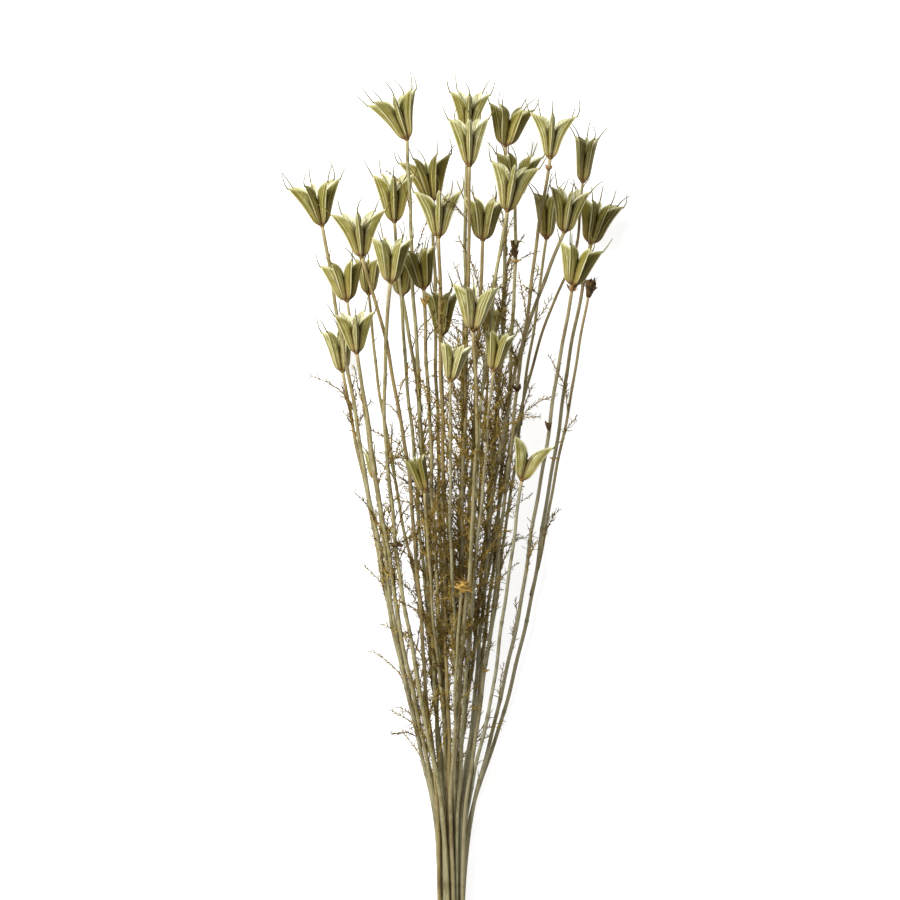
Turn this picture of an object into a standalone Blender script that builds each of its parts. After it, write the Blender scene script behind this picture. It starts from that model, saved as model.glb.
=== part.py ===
"""A tied bunch of dried nigella seed heads, lying on its side.

Metres. The stems run along +Y from their cut ends to the heads, +X is the bunch's right
and +Z is up. The origin is the underside of the tie, on the surface that the bunch lies on.
"""
import math
import random
from collections import namedtuple

import bmesh
import bpy
import numpy as np
from mathutils import Vector

# The foot of the bunch and its tie
CUT_END_Y = -0.055
CUT_SPREAD = 0.006
FAN_START_Y = 0.020
FAN_LENGTH = 0.396
FAN_OPENING = 0.20
STEM_PITCH = 0.00345
STEM_ROW = STEM_PITCH * math.sqrt(3) / 2
TIE_INNER_RADIUS = 0.0100
TIE_THICKNESS = 0.0010
TIE_WIDTH = 0.010
TIE_SIDES = 24

# Stems
STEM_FOOT_RADIUS = 0.00145
STEM_HEAD_RADIUS = 0.00120
SIDE_STEM_FOOT_RADIUS = 0.00110
SIDE_STEM_HEAD_RADIUS = 0.00095
STEM_SIDES = 5
JOINT_GAP = 0.0003
BOW_TO_PEAK = 27 / 4

# Seed heads
HEAD_FOOT_RADIUS = 0.0016
SHOULDER_AT = 0.15
SHOULDER_RISE = 0.07
FLARE_POWER = 1.1
VALLEY_DEPTH = 0.60
SPLIT_AT = 0.55
CROTCH_AT = 0.49
LIP_AT = 0.85
FOLLICLE_WIDTH_SHARE = 0.85
FOLLICLE_HALF_THICKNESS = 0.0013
LEAST_CORE = 0.0005
SIDE_SHARE = 0.4
TIP_WIDTH = 0.0012
BEAK_SHARE = 0.30
BEAK_OUT = 0.45
BEAK_ALONG = 0.90
PITCH_SPREAD = 7.0
ROLL_SPREAD = 6.0

# Thread leaves
LEAF_LENGTH = 0.026
LEAF_ANGLE = 34.0
LEAF_RADIUS = 0.00048
THREAD_LENGTH = 0.010
THREAD_ANGLE = 48.0
LEAF_LOWEST_Y = 0.090
LEAF_TRIES = 60
LEAVES_A_STEM = 3
LEAF_SPACE = 0.125

# Room kept between neighbours
CONTROL_STEP = 0.030
LEVEL_STEP = 0.005
HIGHEST_Y = 0.525
STEM_GAP = 0.0006
HEAD_GAP = 0.0008
FLOOR_GAP = 0.0016
LEAF_GAP = 0.0008
FORK_CLEAR = 0.045
ROOM_FACTOR = 1.04

# Settling: how strongly routes push, straighten and pull back, until the calm last steps
SETTLING_STEPS = 1500
CALM_FROM = 1200
PUSH = 1.1
STRAIGHTENING = 0.25
CALM_STRAIGHTENING = 0.03
PULL_BACK = 0.004
HEAD_SIDE_FREEDOM = 0.03

# Where each head's base is and how it stands: x, y and z in metres, its length and the
# radius that its tips reach, its lean to the right in degrees, its follicles, and how much
# of its reach it swells to just above its foot.
Head = namedtuple("Head", "x y z length reach lean follicles shoulder")
HEADS = {
    "pod_01": Head(-0.0264, 0.4754, 0.068, 0.0270, 0.0152, -19, 7, 0.20),
    "pod_02": Head(-0.0774, 0.4250, 0.046, 0.0260, 0.0160, -11, 7, 0.20),
    "pod_03": Head(-0.0534, 0.4052, 0.080, 0.0270, 0.0165, -5, 5, 0.22),
    "pod_04": Head(-0.0336, 0.4268, 0.054, 0.0285, 0.0125, -1, 5, 0.26),
    "pod_05": Head(-0.0114, 0.4400, 0.050, 0.0260, 0.0160, -10, 7, 0.26),
    "pod_06": Head(-0.0074, 0.4168, 0.090, 0.0270, 0.0148, -1, 5, 0.22),
    "pod_07": Head(-0.0356, 0.3897, 0.084, 0.0260, 0.0115, 2, 6, 0.30),
    "pod_08": Head(-0.0296, 0.3832, 0.042, 0.0255, 0.0112, 0, 5, 0.33),
    "pod_09": Head(-0.0160, 0.3863, 0.068, 0.0240, 0.0105, -10, 6, 0.30),
    "pod_10": Head(-0.0622, 0.3794, 0.060, 0.0230, 0.0124, -8, 6, 0.28),
    "pod_11": Head(-0.0558, 0.3480, 0.072, 0.0240, 0.0120, -4, 5, 0.20),
    "pod_12": Head(-0.0656, 0.3377, 0.014, 0.0250, 0.0100, -7, 5, 0.33),
    "pod_13": Head(-0.0496, 0.3844, 0.022, 0.0210, 0.0085, 0, 5, 0.30),
    "pod_14": Head(-0.0054, 0.3590, 0.045, 0.0260, 0.0104, 0, 6, 0.28),
    "pod_15": Head(0.0128, 0.3614, 0.098, 0.0260, 0.0136, 5, 5, 0.24),
    "pod_16": Head(-0.0001, 0.3312, 0.088, 0.0220, 0.0096, 8, 5, 0.20),
    "pod_17": Head(0.0252, 0.3374, 0.094, 0.0230, 0.0090, 10, 5, 0.24),
    "pod_18": Head(0.0234, 0.3572, 0.030, 0.0190, 0.0075, 5, 5, 0.28),
    "pod_19": Head(0.0096, 0.4778, 0.050, 0.0270, 0.0120, 4, 5, 0.22),
    "pod_20": Head(0.0106, 0.4590, 0.092, 0.0280, 0.0120, -1, 5, 0.18),
    "pod_21": Head(0.0328, 0.4735, 0.040, 0.0240, 0.0132, 9, 6, 0.32),
    "pod_22": Head(0.0594, 0.4643, 0.072, 0.0260, 0.0145, 5, 5, 0.20),
    "pod_23": Head(0.0792, 0.4514, 0.045, 0.0270, 0.0074, 5, 5, 0.36),
    "pod_24": Head(0.0336, 0.4322, 0.088, 0.0280, 0.0144, 9, 5, 0.25),
    "pod_25": Head(0.0384, 0.4412, 0.050, 0.0260, 0.0138, 5, 6, 0.28),
    "pod_26": Head(0.0190, 0.4157, 0.066, 0.0250, 0.0120, 3, 6, 0.35),
    "pod_27": Head(0.0576, 0.4176, 0.042, 0.0270, 0.0086, 1, 5, 0.35),
    "pod_28": Head(0.0676, 0.4207, 0.066, 0.0260, 0.0120, 8, 5, 0.33),
    "pod_29": Head(0.0844, 0.4149, 0.016, 0.0260, 0.0136, 13, 7, 0.32),
    "pod_30": Head(0.0724, 0.3882, 0.066, 0.0240, 0.0124, 13, 6, 0.30),
    "pod_31": Head(0.0424, 0.2722, 0.062, 0.0240, 0.0132, 17, 3, 0.26),
    "pod_32": Head(-0.0158, 0.2656, 0.084, 0.0210, 0.0065, -17, 5, 0.28),
    "pod_33": Head(-0.0464, 0.2741, 0.044, 0.0150, 0.0030, -10, 5, 0.30),
    "withered_bud": Head(0.0826, 0.3821, 0.036, 0.0120, 0.0032, 14, 5, 0.33),
    "withered_flower": Head(0.0060, 0.2048, 0.068, 0.0090, 0.0046, 12, 5, 0.33),
}
RESTING_HEADS = ("pod_12", "pod_29")

# Heads that turn the narrow back of a follicle straight up
KEEL_UP = ("pod_01", "pod_03", "pod_04", "pod_06", "pod_11", "pod_19", "pod_20", "pod_22",
           "pod_24", "pod_28")

# Each stem's own head, the head of its side stem, how far up that side stem forks off, how
# far the stem bows to the right of a straight run low down, and how far it does higher up.
Stem = namedtuple("Stem", "head side fork_y bow sway")
STEMS = (
    Stem("pod_01", None, 0, 0, 0),
    Stem("pod_02", "pod_10", 0.150, 0, 0),
    Stem("pod_03", None, 0, 0, 0.012),
    Stem("pod_04", "pod_13", 0.172, 0.002, 0),
    Stem("pod_05", None, 0, 0, 0),
    Stem("pod_06", None, 0, 0, 0),
    Stem("pod_07", None, 0, 0, -0.012),
    Stem("pod_08", None, 0, 0, 0.007),
    Stem("pod_09", "pod_32", 0.148, 0, 0),
    Stem("pod_11", None, 0, 0, 0),
    Stem("pod_12", "pod_33", 0.148, 0, 0),
    Stem("pod_15", "withered_flower", 0.120, -0.005, 0.006),
    Stem("pod_19", "pod_14", 0.160, 0, 0),
    Stem("pod_20", "pod_16", 0.130, 0, 0),
    Stem("pod_21", "pod_18", 0.110, 0, 0.006),
    Stem("pod_22", "pod_27", 0.160, 0, -0.003),
    Stem("pod_28", "pod_23", 0.200, 0, -0.018),
    Stem("pod_24", "pod_17", 0.160, 0, -0.007),
    Stem("pod_25", None, 0, 0, 0.006),
    Stem("pod_26", None, 0, 0, 0),
    Stem("pod_29", "withered_bud", 0.202, 0.009, 0),
    Stem("pod_30", None, 0, 0.003, 0),
    Stem("pod_31", None, 0, 0.004, 0),
)

# Colour, roughness and metallic value of each dried surface
STEM_FINISH = ((0.20, 0.17, 0.09), 0.75, 0.0)
POD_FINISH = ((0.34, 0.31, 0.14), 0.45, 0.0)
BUD_FINISH = ((0.06, 0.045, 0.02), 0.80, 0.0)
FLOWER_FINISH = ((0.27, 0.16, 0.03), 0.80, 0.0)
TIE_FINISH = ((0.42, 0.30, 0.16), 0.85, 0.0)


# Seed heads

def head_turns(name):
    """The head's pitch and its roll, in radians; an odd follicle lies up or down."""
    draw = random.Random("turn of " + name)
    pitch = math.radians(draw.uniform(-PITCH_SPREAD, PITCH_SPREAD))
    roll = math.radians(draw.uniform(-ROLL_SPREAD, ROLL_SPREAD))
    if name in KEEL_UP:
        roll += math.pi / 2
    elif HEADS[name].follicles % 2:
        roll -= math.pi / 2
    return pitch, roll


def head_frame(name):
    """The head's own right, its axis, and its upper side."""
    lean = math.radians(HEADS[name].lean)
    pitch, _ = head_turns(name)
    right = Vector((math.cos(lean), -math.sin(lean), 0))
    axis = Vector((math.sin(lean) * math.cos(pitch), math.cos(lean) * math.cos(pitch),
                   math.sin(pitch)))
    return right, axis, right.cross(axis)


def outer_radius(head, share):
    """How far the backs of the follicles stand from the axis, a share of the way up."""
    foot = HEAD_FOOT_RADIUS
    shoulder = head.shoulder * head.reach
    swell = shoulder * (1 - math.exp(-share / SHOULDER_RISE))
    flare = (head.reach - foot - shoulder) * share ** FLARE_POWER
    return foot + swell + flare


def head_mesh_data(name):
    """Points and faces of a head whose base is at the origin."""
    head = HEADS[name]
    right, axis, upper = head_frame(name)
    _, roll = head_turns(name)
    count = head.follicles
    half_step = math.pi / count

    def place(share, angle, radius, sideways=0.0):
        out = right * math.cos(angle) + upper * math.sin(angle)
        across = upper * math.cos(angle) - right * math.sin(angle)
        return axis * (share * head.length) + out * radius + across * sideways

    valley = VALLEY_DEPTH * math.cos(half_step)
    angles = [roll + 2 * half_step * i for i in range(count)]
    points = []
    faces = []
    for share in (0.0, SHOULDER_AT, SPLIT_AT):
        radius = outer_radius(head, share)
        deep = radius * (valley if share else 1.0)
        for angle in angles:
            points.append(place(share, angle, radius))
            points.append(place(share, angle + half_step, deep))
    ring = 2 * count
    faces.append(list(range(ring)))
    for level in range(2):
        for i in range(ring):
            low = level * ring + i
            low_next = level * ring + (i + 1) % ring
            faces.append([low, low_next, low_next + ring, low + ring])
    crotch = len(points)
    points.append(place(CROTCH_AT, 0, 0))

    top = 2 * ring
    width = FOLLICLE_WIDTH_SHARE * outer_radius(head, SPLIT_AT)
    for i, angle in enumerate(angles):
        lower = [crotch, top + (2 * i - 1) % ring, top + 2 * i, top + 2 * i + 1]
        for share in (LIP_AT, 1.0):
            outer = outer_radius(head, share)
            wide = min(width, outer - LEAST_CORE) if share < 1 else TIP_WIDTH
            side = outer - SIDE_SHARE * wide
            half = min(FOLLICLE_HALF_THICKNESS, 0.75 * side * math.tan(half_step))
            if share == 1.0:
                half = min(half, TIP_WIDTH / 2)
            upper_ring = list(range(len(points), len(points) + 4))
            points.append(place(share, angle, outer - wide))
            points.append(place(share, angle, side, -half))
            points.append(place(share, angle, outer))
            points.append(place(share, angle, side, half))
            for a in range(4):
                b = (a + 1) % 4
                faces.append([lower[a], lower[b], upper_ring[b], upper_ring[a]])
            lower = upper_ring
        beak = BEAK_SHARE * head.length
        tip = len(points)
        points.append(place(1.0 + BEAK_ALONG * BEAK_SHARE, angle,
                            head.reach - TIP_WIDTH / 2 + BEAK_OUT * beak))
        for a in range(4):
            faces.append([lower[a], lower[(a + 1) % 4], tip])
    return points, faces


# Laying out the bunch

Route = namedtuple("Route", "head start_y base_y controls_y foot_radius head_radius main")


def make_routes():
    """One route for each stem and each side stem, main stems first."""
    routes = []
    for stem in STEMS:
        base_y = HEADS[stem.head].y
        heights = list(np.arange(CUT_END_Y, base_y - CONTROL_STEP / 2, CONTROL_STEP)) + [base_y]
        routes.append(Route(stem.head, CUT_END_Y, base_y, np.array(heights),
                            STEM_FOOT_RADIUS, STEM_HEAD_RADIUS, None))
    for number, stem in enumerate(STEMS):
        if stem.side:
            base_y = HEADS[stem.side].y
            heights = list(np.arange(stem.fork_y, base_y - CONTROL_STEP / 2, CONTROL_STEP))
            routes.append(Route(stem.side, stem.fork_y, base_y, np.array(heights + [base_y]),
                                SIDE_STEM_FOOT_RADIUS, SIDE_STEM_HEAD_RADIUS, number))
    return routes


def tie_height():
    """The height of the bunch's middle where the tie holds it."""
    return (TIE_INNER_RADIUS + TIE_THICKNESS) * math.cos(math.pi / TIE_SIDES)


def foot_slots():
    """Packed places for the stems inside the tie, in rows, as offsets from its middle."""
    slots = []
    for row in range(-4, 5):
        for column in range(-4, 5):
            across = (column + 0.5 * (row % 2)) * STEM_PITCH
            slots.append((across, (row - 0.5) * STEM_ROW))
    slots.sort(key=lambda slot: (round(math.hypot(*slot), 7), slot))
    return slots[:len(STEMS)]


def assign_slots():
    """Give each stem the slot that keeps it on its own side of the bunch all the way."""
    slots = np.array(foot_slots())
    wanted = np.array([(HEADS[stem.head].x, HEADS[stem.head].z) for stem in STEMS])
    wanted = (wanted - wanted.mean(axis=0)) / wanted.std(axis=0) * slots.std(axis=0)
    order = list(range(len(STEMS)))
    better = True
    while better:
        better = False
        for a in range(len(order)):
            for b in range(a + 1, len(order)):
                now = np.sum((slots[order[a]] - wanted[a]) ** 2)
                now += np.sum((slots[order[b]] - wanted[b]) ** 2)
                swapped = np.sum((slots[order[b]] - wanted[a]) ** 2)
                swapped += np.sum((slots[order[a]] - wanted[b]) ** 2)
                if swapped < now - 1e-12:
                    order[a], order[b] = order[b], order[a]
                    better = True
    return slots[order]


def opening(y):
    """How far the fan has opened at a height, from 0 at the foot."""
    share = np.maximum(np.asarray(y) - FAN_START_Y, 0) / FAN_LENGTH
    return share * (1 - np.exp(-(share / FAN_OPENING) ** 2))


def first_paths(routes, slots, head_z):
    """Each route's control points before they make room for each other."""
    paths = []
    for number, route in enumerate(routes):
        head = HEADS[route.head]
        goal = np.array((head.x, head_z[route.head]))
        if route.main is None:
            foot = slots[number] + np.array((0, tie_height()))
            share = (opening(route.controls_y) / opening(route.base_y))[:, None]
            path = foot + (goal - foot) * share
            up = np.maximum(route.controls_y - FAN_START_Y, 0) / (route.base_y - FAN_START_Y)
            path[:, 0] += STEMS[number].bow * BOW_TO_PEAK * up * (1 - up) ** 2
            path[:, 0] += STEMS[number].sway * BOW_TO_PEAK * up ** 2 * (1 - up)
            paths.append(path)
            continue
        main = routes[route.main]
        carried = np.column_stack([np.interp(route.controls_y, main.controls_y,
                                             paths[route.main][:, i]) for i in range(2)])
        share = (route.controls_y - route.start_y) / (route.base_y - route.start_y)
        away = np.sin(share * math.pi / 2)[:, None]
        paths.append(carried + (goal - carried[-1]) * away)
    return paths


def room_needed(route, levels):
    """The radius that a route takes up at each level, and 0 where it isn't."""
    head = HEADS[route.head]
    _, axis, _ = head_frame(route.head)
    radii = np.zeros(len(levels))
    for k, y in enumerate(levels):
        if route.start_y - 1e-9 <= y <= route.base_y:
            share = (y - route.start_y) / (route.base_y - route.start_y)
            radii[k] = route.foot_radius + share * (route.head_radius - route.foot_radius)
        elif y > route.base_y:
            share = (y - route.base_y) / (head.length * axis.y)
            past = share - 1
            if past <= 0:
                radii[k] = outer_radius(head, share) + HEAD_GAP
            elif past <= BEAK_SHARE * BEAK_ALONG + 0.1:
                radii[k] = head.reach + BEAK_OUT * head.length * past + HEAD_GAP
    return radii


def level_weights(route, levels, most_controls):
    """How each level's point follows from the controls, and its fixed offset in a head."""
    weights = np.zeros((len(levels), most_controls))
    offsets = np.zeros((len(levels), 2))
    _, axis, _ = head_frame(route.head)
    heights = route.controls_y
    for k, y in enumerate(levels):
        if y >= route.base_y:
            weights[k, len(heights) - 1] = 1
            offsets[k] = np.array((axis.x, axis.z)) / axis.y * (y - route.base_y)
        elif y >= route.start_y - 1e-9:
            low = min(int((y - route.start_y + 1e-9) / CONTROL_STEP), len(heights) - 2)
            share = (y - heights[low]) / (heights[low + 1] - heights[low])
            weights[k, low] = 1 - share
            weights[k, low + 1] = share
    return weights, offsets


def settle(routes, paths):
    """Push the routes apart, level by level, until each has its room."""
    levels = np.arange(CUT_END_Y, HIGHEST_Y, LEVEL_STEP)
    most = max(len(route.controls_y) for route in routes)
    count = len(routes)
    radii = np.array([room_needed(route, levels) for route in routes])
    weights = np.zeros((count, len(levels), most))
    offsets = np.zeros((count, len(levels), 2))
    placed = np.zeros((count, most, 2))
    freedom = np.zeros((count, most, 2))
    for r, route in enumerate(routes):
        weights[r], offsets[r] = level_weights(route, levels, most)
        used = len(route.controls_y)
        placed[r, :used] = paths[r]
        freedom[r, :used] = 1
        freedom[r, :used][route.controls_y < FAN_START_Y + 0.01] = 0
        freedom[r, used - 1] = (HEAD_SIDE_FREEDOM, 0.0 if route.head in RESTING_HEADS else 1.0)
        if route.main is not None:
            freedom[r, 0] = 0
    wanted = placed.copy()

    active = radii > 0
    touching = active[:, None, :] & active[None, :, :]
    touching &= ~np.eye(count, dtype=bool)[:, :, None]
    for r, route in enumerate(routes):
        if route.main is not None:
            near = levels < route.start_y + FORK_CLEAR
            touching[r, route.main, near] = False
            touching[route.main, r, near] = False
    apart = (radii[:, None, :] + radii[None, :, :]) * ROOM_FACTOR + STEM_GAP
    is_head = np.array([[y > route.base_y for y in levels] for route in routes])
    lowest = np.where(is_head, FLOOR_GAP, FLOOR_GAP / 2)
    resting = np.array([route.head in RESTING_HEADS for route in routes])
    lowest = np.where(is_head & resting[:, None], -1.0, lowest)
    middle = np.zeros((count, most), dtype=bool)
    for r, route in enumerate(routes):
        middle[r, 1:len(route.controls_y) - 1] = True

    for step in range(SETTLING_STEPS):
        at = np.einsum("rlc,rcd->rld", weights, placed) + offsets
        gap = at[:, None] - at[None, :]
        distance = np.sqrt((gap ** 2).sum(axis=3)) + 1e-9
        short = np.where(touching, np.maximum(apart - distance, 0), 0)
        push = (gap / distance[..., None] * short[..., None]).sum(axis=1) * 0.5
        hits = (short > 0).sum(axis=1).astype(float)
        sunk = np.where(active, np.maximum(radii + lowest - at[..., 1], 0), 0)
        push[..., 1] += sunk
        hits += sunk > 0
        total = np.einsum("rlc,rld->rcd", weights, push)
        share = np.einsum("rlc,rl->rc", weights, np.minimum(hits, 2))
        placed += freedom * total / np.maximum(share, 0.7)[..., None] * PUSH

        moved = placed - wanted
        easing = STRAIGHTENING if step < CALM_FROM else CALM_STRAIGHTENING
        smooth = moved.copy()
        smooth[:, 1:-1] = 0.5 * (moved[:, :-2] + moved[:, 2:])
        blended = moved + easing * np.where(middle[..., None], smooth - moved, 0)
        pull = PULL_BACK if step < CALM_FROM else 0.0
        placed = wanted + np.where(freedom > 0, blended * (1 - pull), moved)
        for r, route in enumerate(routes):
            if route.main is not None:
                main = routes[route.main]
                for d in range(2):
                    placed[r, 0, d] = np.interp(route.start_y, main.controls_y,
                                                placed[route.main, :len(main.controls_y), d])
    print("least room still missing, mm:", round(float(short.max()) * 1000, 3))
    settled = []
    for r, route in enumerate(routes):
        used = len(route.controls_y)
        settled.append([Vector((placed[r, i, 0], route.controls_y[i], placed[r, i, 1]))
                        for i in range(used)])
    return settled, levels, radii, np.einsum("rlc,rcd->rld", weights, placed) + offsets


def head_heights():
    """The height of each head's base; a resting head's lowest point is on the surface."""
    heights = {}
    for name, head in HEADS.items():
        heights[name] = head.z
        if name in RESTING_HEADS:
            heights[name] = -min(point.z for point in head_mesh_data(name)[0])
    return heights


# Meshes

def new_object(name, points, faces, finish):
    """A closed mesh object with its own material."""
    mesh = bpy.data.meshes.new(name)
    mesh.from_pydata([tuple(point) for point in points], [], faces)
    shape = bmesh.new()
    shape.from_mesh(mesh)
    bmesh.ops.recalc_face_normals(shape, faces=shape.faces)
    shape.to_mesh(mesh)
    shape.free()
    obj = bpy.data.objects.new(name, mesh)
    bpy.context.scene.collection.objects.link(obj)
    material = bpy.data.materials.new(name)
    material.use_nodes = True
    shader = material.node_tree.nodes["Principled BSDF"]
    colour, roughness, metallic = finish
    shader.inputs["Base Color"].default_value = (*colour, 1)
    shader.inputs["Roughness"].default_value = roughness
    shader.inputs["Metallic"].default_value = metallic
    mesh.materials.append(material)
    return obj


def tube_data(path, radii, sides, last_direction=None, turn=0.0):
    """Points and faces of a closed tube along a path; a last radius of 0 makes a point."""
    points = []
    faces = []
    pointed = radii[-1] == 0
    for i, centre in enumerate(path):
        before = path[max(i - 1, 0)]
        after = path[min(i + 1, len(path) - 1)]
        direction = (after - before).normalized()
        if i == len(path) - 1 and last_direction is not None:
            direction = last_direction
        side = direction.cross(Vector((0, 0, 1))).normalized()
        upper = side.cross(direction)
        if pointed and i == len(path) - 1:
            points.append(centre)
            break
        for k in range(sides):
            angle = turn + 2 * math.pi * k / sides
            points.append(centre + (side * math.cos(angle) + upper * math.sin(angle)) * radii[i])
    faces.append(list(range(sides)))
    rings = len(path) - 1 if pointed else len(path)
    for i in range(rings - 1):
        for k in range(sides):
            a = i * sides + k
            b = i * sides + (k + 1) % sides
            faces.append([a, b, b + sides, a + sides])
    last = (rings - 1) * sides
    if pointed:
        for k in range(sides):
            faces.append([last + k, last + (k + 1) % sides, len(points) - 1])
    else:
        faces.append(list(range(last, last + sides)))
    return points, faces


def stem_tube(name, route, path, finish):
    """A stem or side stem, ending a small gap below its head."""
    _, axis, _ = head_frame(route.head)
    path = path[:-1] + [path[-1] - axis * JOINT_GAP]
    if route.main is None:
        cut = random.Random("cut of " + name).uniform(0, CUT_SPREAD)
        path[0] = path[0] + Vector((0, cut, 0))
    shares = [(point.y - route.start_y) / (route.base_y - route.start_y) for point in path]
    radii = [route.foot_radius + share * (route.head_radius - route.foot_radius)
             for share in shares]
    points, faces = tube_data(path, radii, STEM_SIDES, axis)
    return new_object(name, points, faces, finish)


# Thread leaves

def leaf_threads(root, draw):
    """A leaf's rib and its side threads, as lists of points."""
    around = draw.uniform(0, 2 * math.pi)
    out = Vector((math.cos(around), 0, math.sin(around)))
    across = Vector((-math.sin(around), 0, math.cos(around)))
    along = Vector((0, 1, 0))
    angle = math.radians(LEAF_ANGLE + draw.uniform(-10, 12))
    length = LEAF_LENGTH * draw.uniform(0.8, 1.2)
    bend = draw.uniform(-0.5, 0.5)
    first = out * math.sin(angle) + along * math.cos(angle)
    second = (out * math.sin(angle * 0.6) + along * math.cos(angle * 0.6)
              + across * bend).normalized()
    knee = root + first * length * 0.5
    tip = knee + second * length * 0.5
    threads = [[root, knee, tip]]
    sideways = 1 if draw.random() < 0.5 else -1
    for share in (0.6, 1.0, 1.45):
        start = root.lerp(knee, share) if share < 1 else knee.lerp(tip, share - 1)
        heading = first if share < 1 else second
        turned = math.radians(THREAD_ANGLE + draw.uniform(-12, 12))
        lift = draw.uniform(-0.35, 0.35)
        normal = (across * sideways + out * lift).normalized()
        direction = (heading * math.cos(turned) + normal * math.sin(turned)).normalized()
        threads.append([start, start + direction * THREAD_LENGTH * draw.uniform(0.7, 1.25)])
        sideways = -sideways
    return threads


def is_clear(points, own, levels, radii, at, taken):
    """Whether a leaf's points miss the surface, the other stems and heads, and taken points."""
    for point in points:
        if point.z < FLOOR_GAP:
            return False
        k = int(round((point.y - CUT_END_Y) / LEVEL_STEP))
        for near in (k - 1, k, k + 1):
            if near >= len(levels):
                return False
            reach = radii[:, near] + LEAF_RADIUS + LEAF_GAP
            distance = np.hypot(at[:, near, 0] - point.x, at[:, near, 1] - point.z)
            blocked = (radii[:, near] > 0) & (distance < reach)
            blocked[own] &= radii[own, near] > 2 * STEM_FOOT_RADIUS
            if blocked.any():
                return False
    if taken:
        others = np.array(taken)
        for point in points:
            if (((others - np.array(point)) ** 2).sum(axis=1)
                    < (2 * LEAF_RADIUS + LEAF_GAP) ** 2).any():
                return False
    return True


def grow_leaves(routes, paths, levels, radii, at):
    """Leaves that find clear room, fewer on short stems, as lists of threads for each stem."""
    taken = []
    leaves = [[] for _ in STEMS]
    for turn in range(LEAVES_A_STEM):
        for number in range(len(STEMS)):
            route = routes[number]
            if route.base_y < LEAF_LOWEST_Y + turn * LEAF_SPACE:
                continue
            draw = random.Random("leaf %d of stem %d" % (turn, number))
            own = [number] + [r for r, other in enumerate(routes) if other.main == number]
            for _ in range(LEAF_TRIES):
                y = draw.uniform(LEAF_LOWEST_Y, route.base_y - 0.045)
                i = min(int((y - CUT_END_Y) / CONTROL_STEP), len(route.controls_y) - 2)
                share = (y - route.controls_y[i]) / (route.controls_y[i + 1]
                                                    - route.controls_y[i])
                root = paths[number][i].lerp(paths[number][i + 1], share)
                threads = leaf_threads(root, draw)
                samples = []
                for thread in threads:
                    for a, b in zip(thread, thread[1:]):
                        steps = max(2, int((b - a).length / 0.0015))
                        samples += [a.lerp(b, s / steps) for s in range(1, steps + 1)]
                samples = [p for p in samples if (p - root).length > 0.003]
                if is_clear(samples, own, levels, radii, at, taken):
                    leaves[number].append(threads)
                    taken += [tuple(p) for p in samples]
                    break
    return leaves


def join(base, extras):
    """Union the extras into the base with one Boolean, and drop them."""
    if not extras:
        return
    group = bpy.data.collections.new("extras of " + base.name)
    bpy.context.scene.collection.children.link(group)
    for extra in extras:
        group.objects.link(extra)
        bpy.context.scene.collection.objects.unlink(extra)
    union = base.modifiers.new("union", "BOOLEAN")
    union.operation = "UNION"
    union.operand_type = "COLLECTION"
    union.collection = group
    with bpy.context.temp_override(object=base, active_object=base):
        bpy.ops.object.modifier_apply(modifier=union.name)
    for extra in extras:
        bpy.data.objects.remove(extra)
    bpy.data.collections.remove(group)


def build_stems(routes, paths, leaves):
    """Each stem with its side stem and leaves as one solid."""
    for number in range(len(STEMS)):
        name = "stem_%02d" % (number + 1)
        stem = stem_tube(name, routes[number], paths[number], STEM_FINISH)
        extras = []
        for r, route in enumerate(routes):
            if route.main == number:
                extras.append(stem_tube(name + "_side", route, paths[r], STEM_FINISH))
        for leaf in leaves[number]:
            for i, thread in enumerate(leaf):
                thick = [LEAF_RADIUS] * (len(thread) - 1) + [0]
                points, faces = tube_data(thread, thick, 3, turn=0.3 + 0.4 * i)
                extras.append(new_object(name + "_thread", points, faces, STEM_FINISH))
        join(stem, extras)


def build_heads(routes, paths):
    """Each seed head, bud and flower on the end of its stem."""
    for r, route in enumerate(routes):
        name = route.head
        points, faces = head_mesh_data(name)
        points = [paths[r][-1] + point for point in points]
        finish = {"withered_bud": BUD_FINISH, "withered_flower": FLOWER_FINISH}
        new_object(name, points, faces, finish.get(name, POD_FINISH))


def build_tie():
    """A flat band round the foot, with one of its flats down."""
    inner = TIE_INNER_RADIUS
    outer = TIE_INNER_RADIUS + TIE_THICKNESS
    profile = ((inner, -TIE_WIDTH / 2), (outer, -TIE_WIDTH / 2),
               (outer, TIE_WIDTH / 2), (inner, TIE_WIDTH / 2))
    points = []
    faces = []
    for i in range(TIE_SIDES):
        angle = -math.pi / 2 + (i + 0.5) * 2 * math.pi / TIE_SIDES
        for radius, y in profile:
            points.append((radius * math.cos(angle), y,
                           tie_height() + radius * math.sin(angle)))
    for i in range(TIE_SIDES):
        following = (i + 1) % TIE_SIDES
        for a in range(4):
            b = (a + 1) % 4
            faces.append([4 * i + a, 4 * i + b, 4 * following + b, 4 * following + a])
    new_object("tie", points, faces, TIE_FINISH)


def main():
    for obj in list(bpy.data.objects):
        bpy.data.objects.remove(obj)
    routes = make_routes()
    heights = head_heights()
    paths, levels, radii, at = settle(routes, first_paths(routes, assign_slots(), heights))
    leaves = grow_leaves(routes, paths, levels, radii, at)
    print("leaves placed:", sum(len(leaf) for leaf in leaves))
    build_stems(routes, paths, leaves)
    build_heads(routes, paths)
    build_tie()


if __name__ == "__main__":
    main()
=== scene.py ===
import math
import random
from collections import namedtuple

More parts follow.
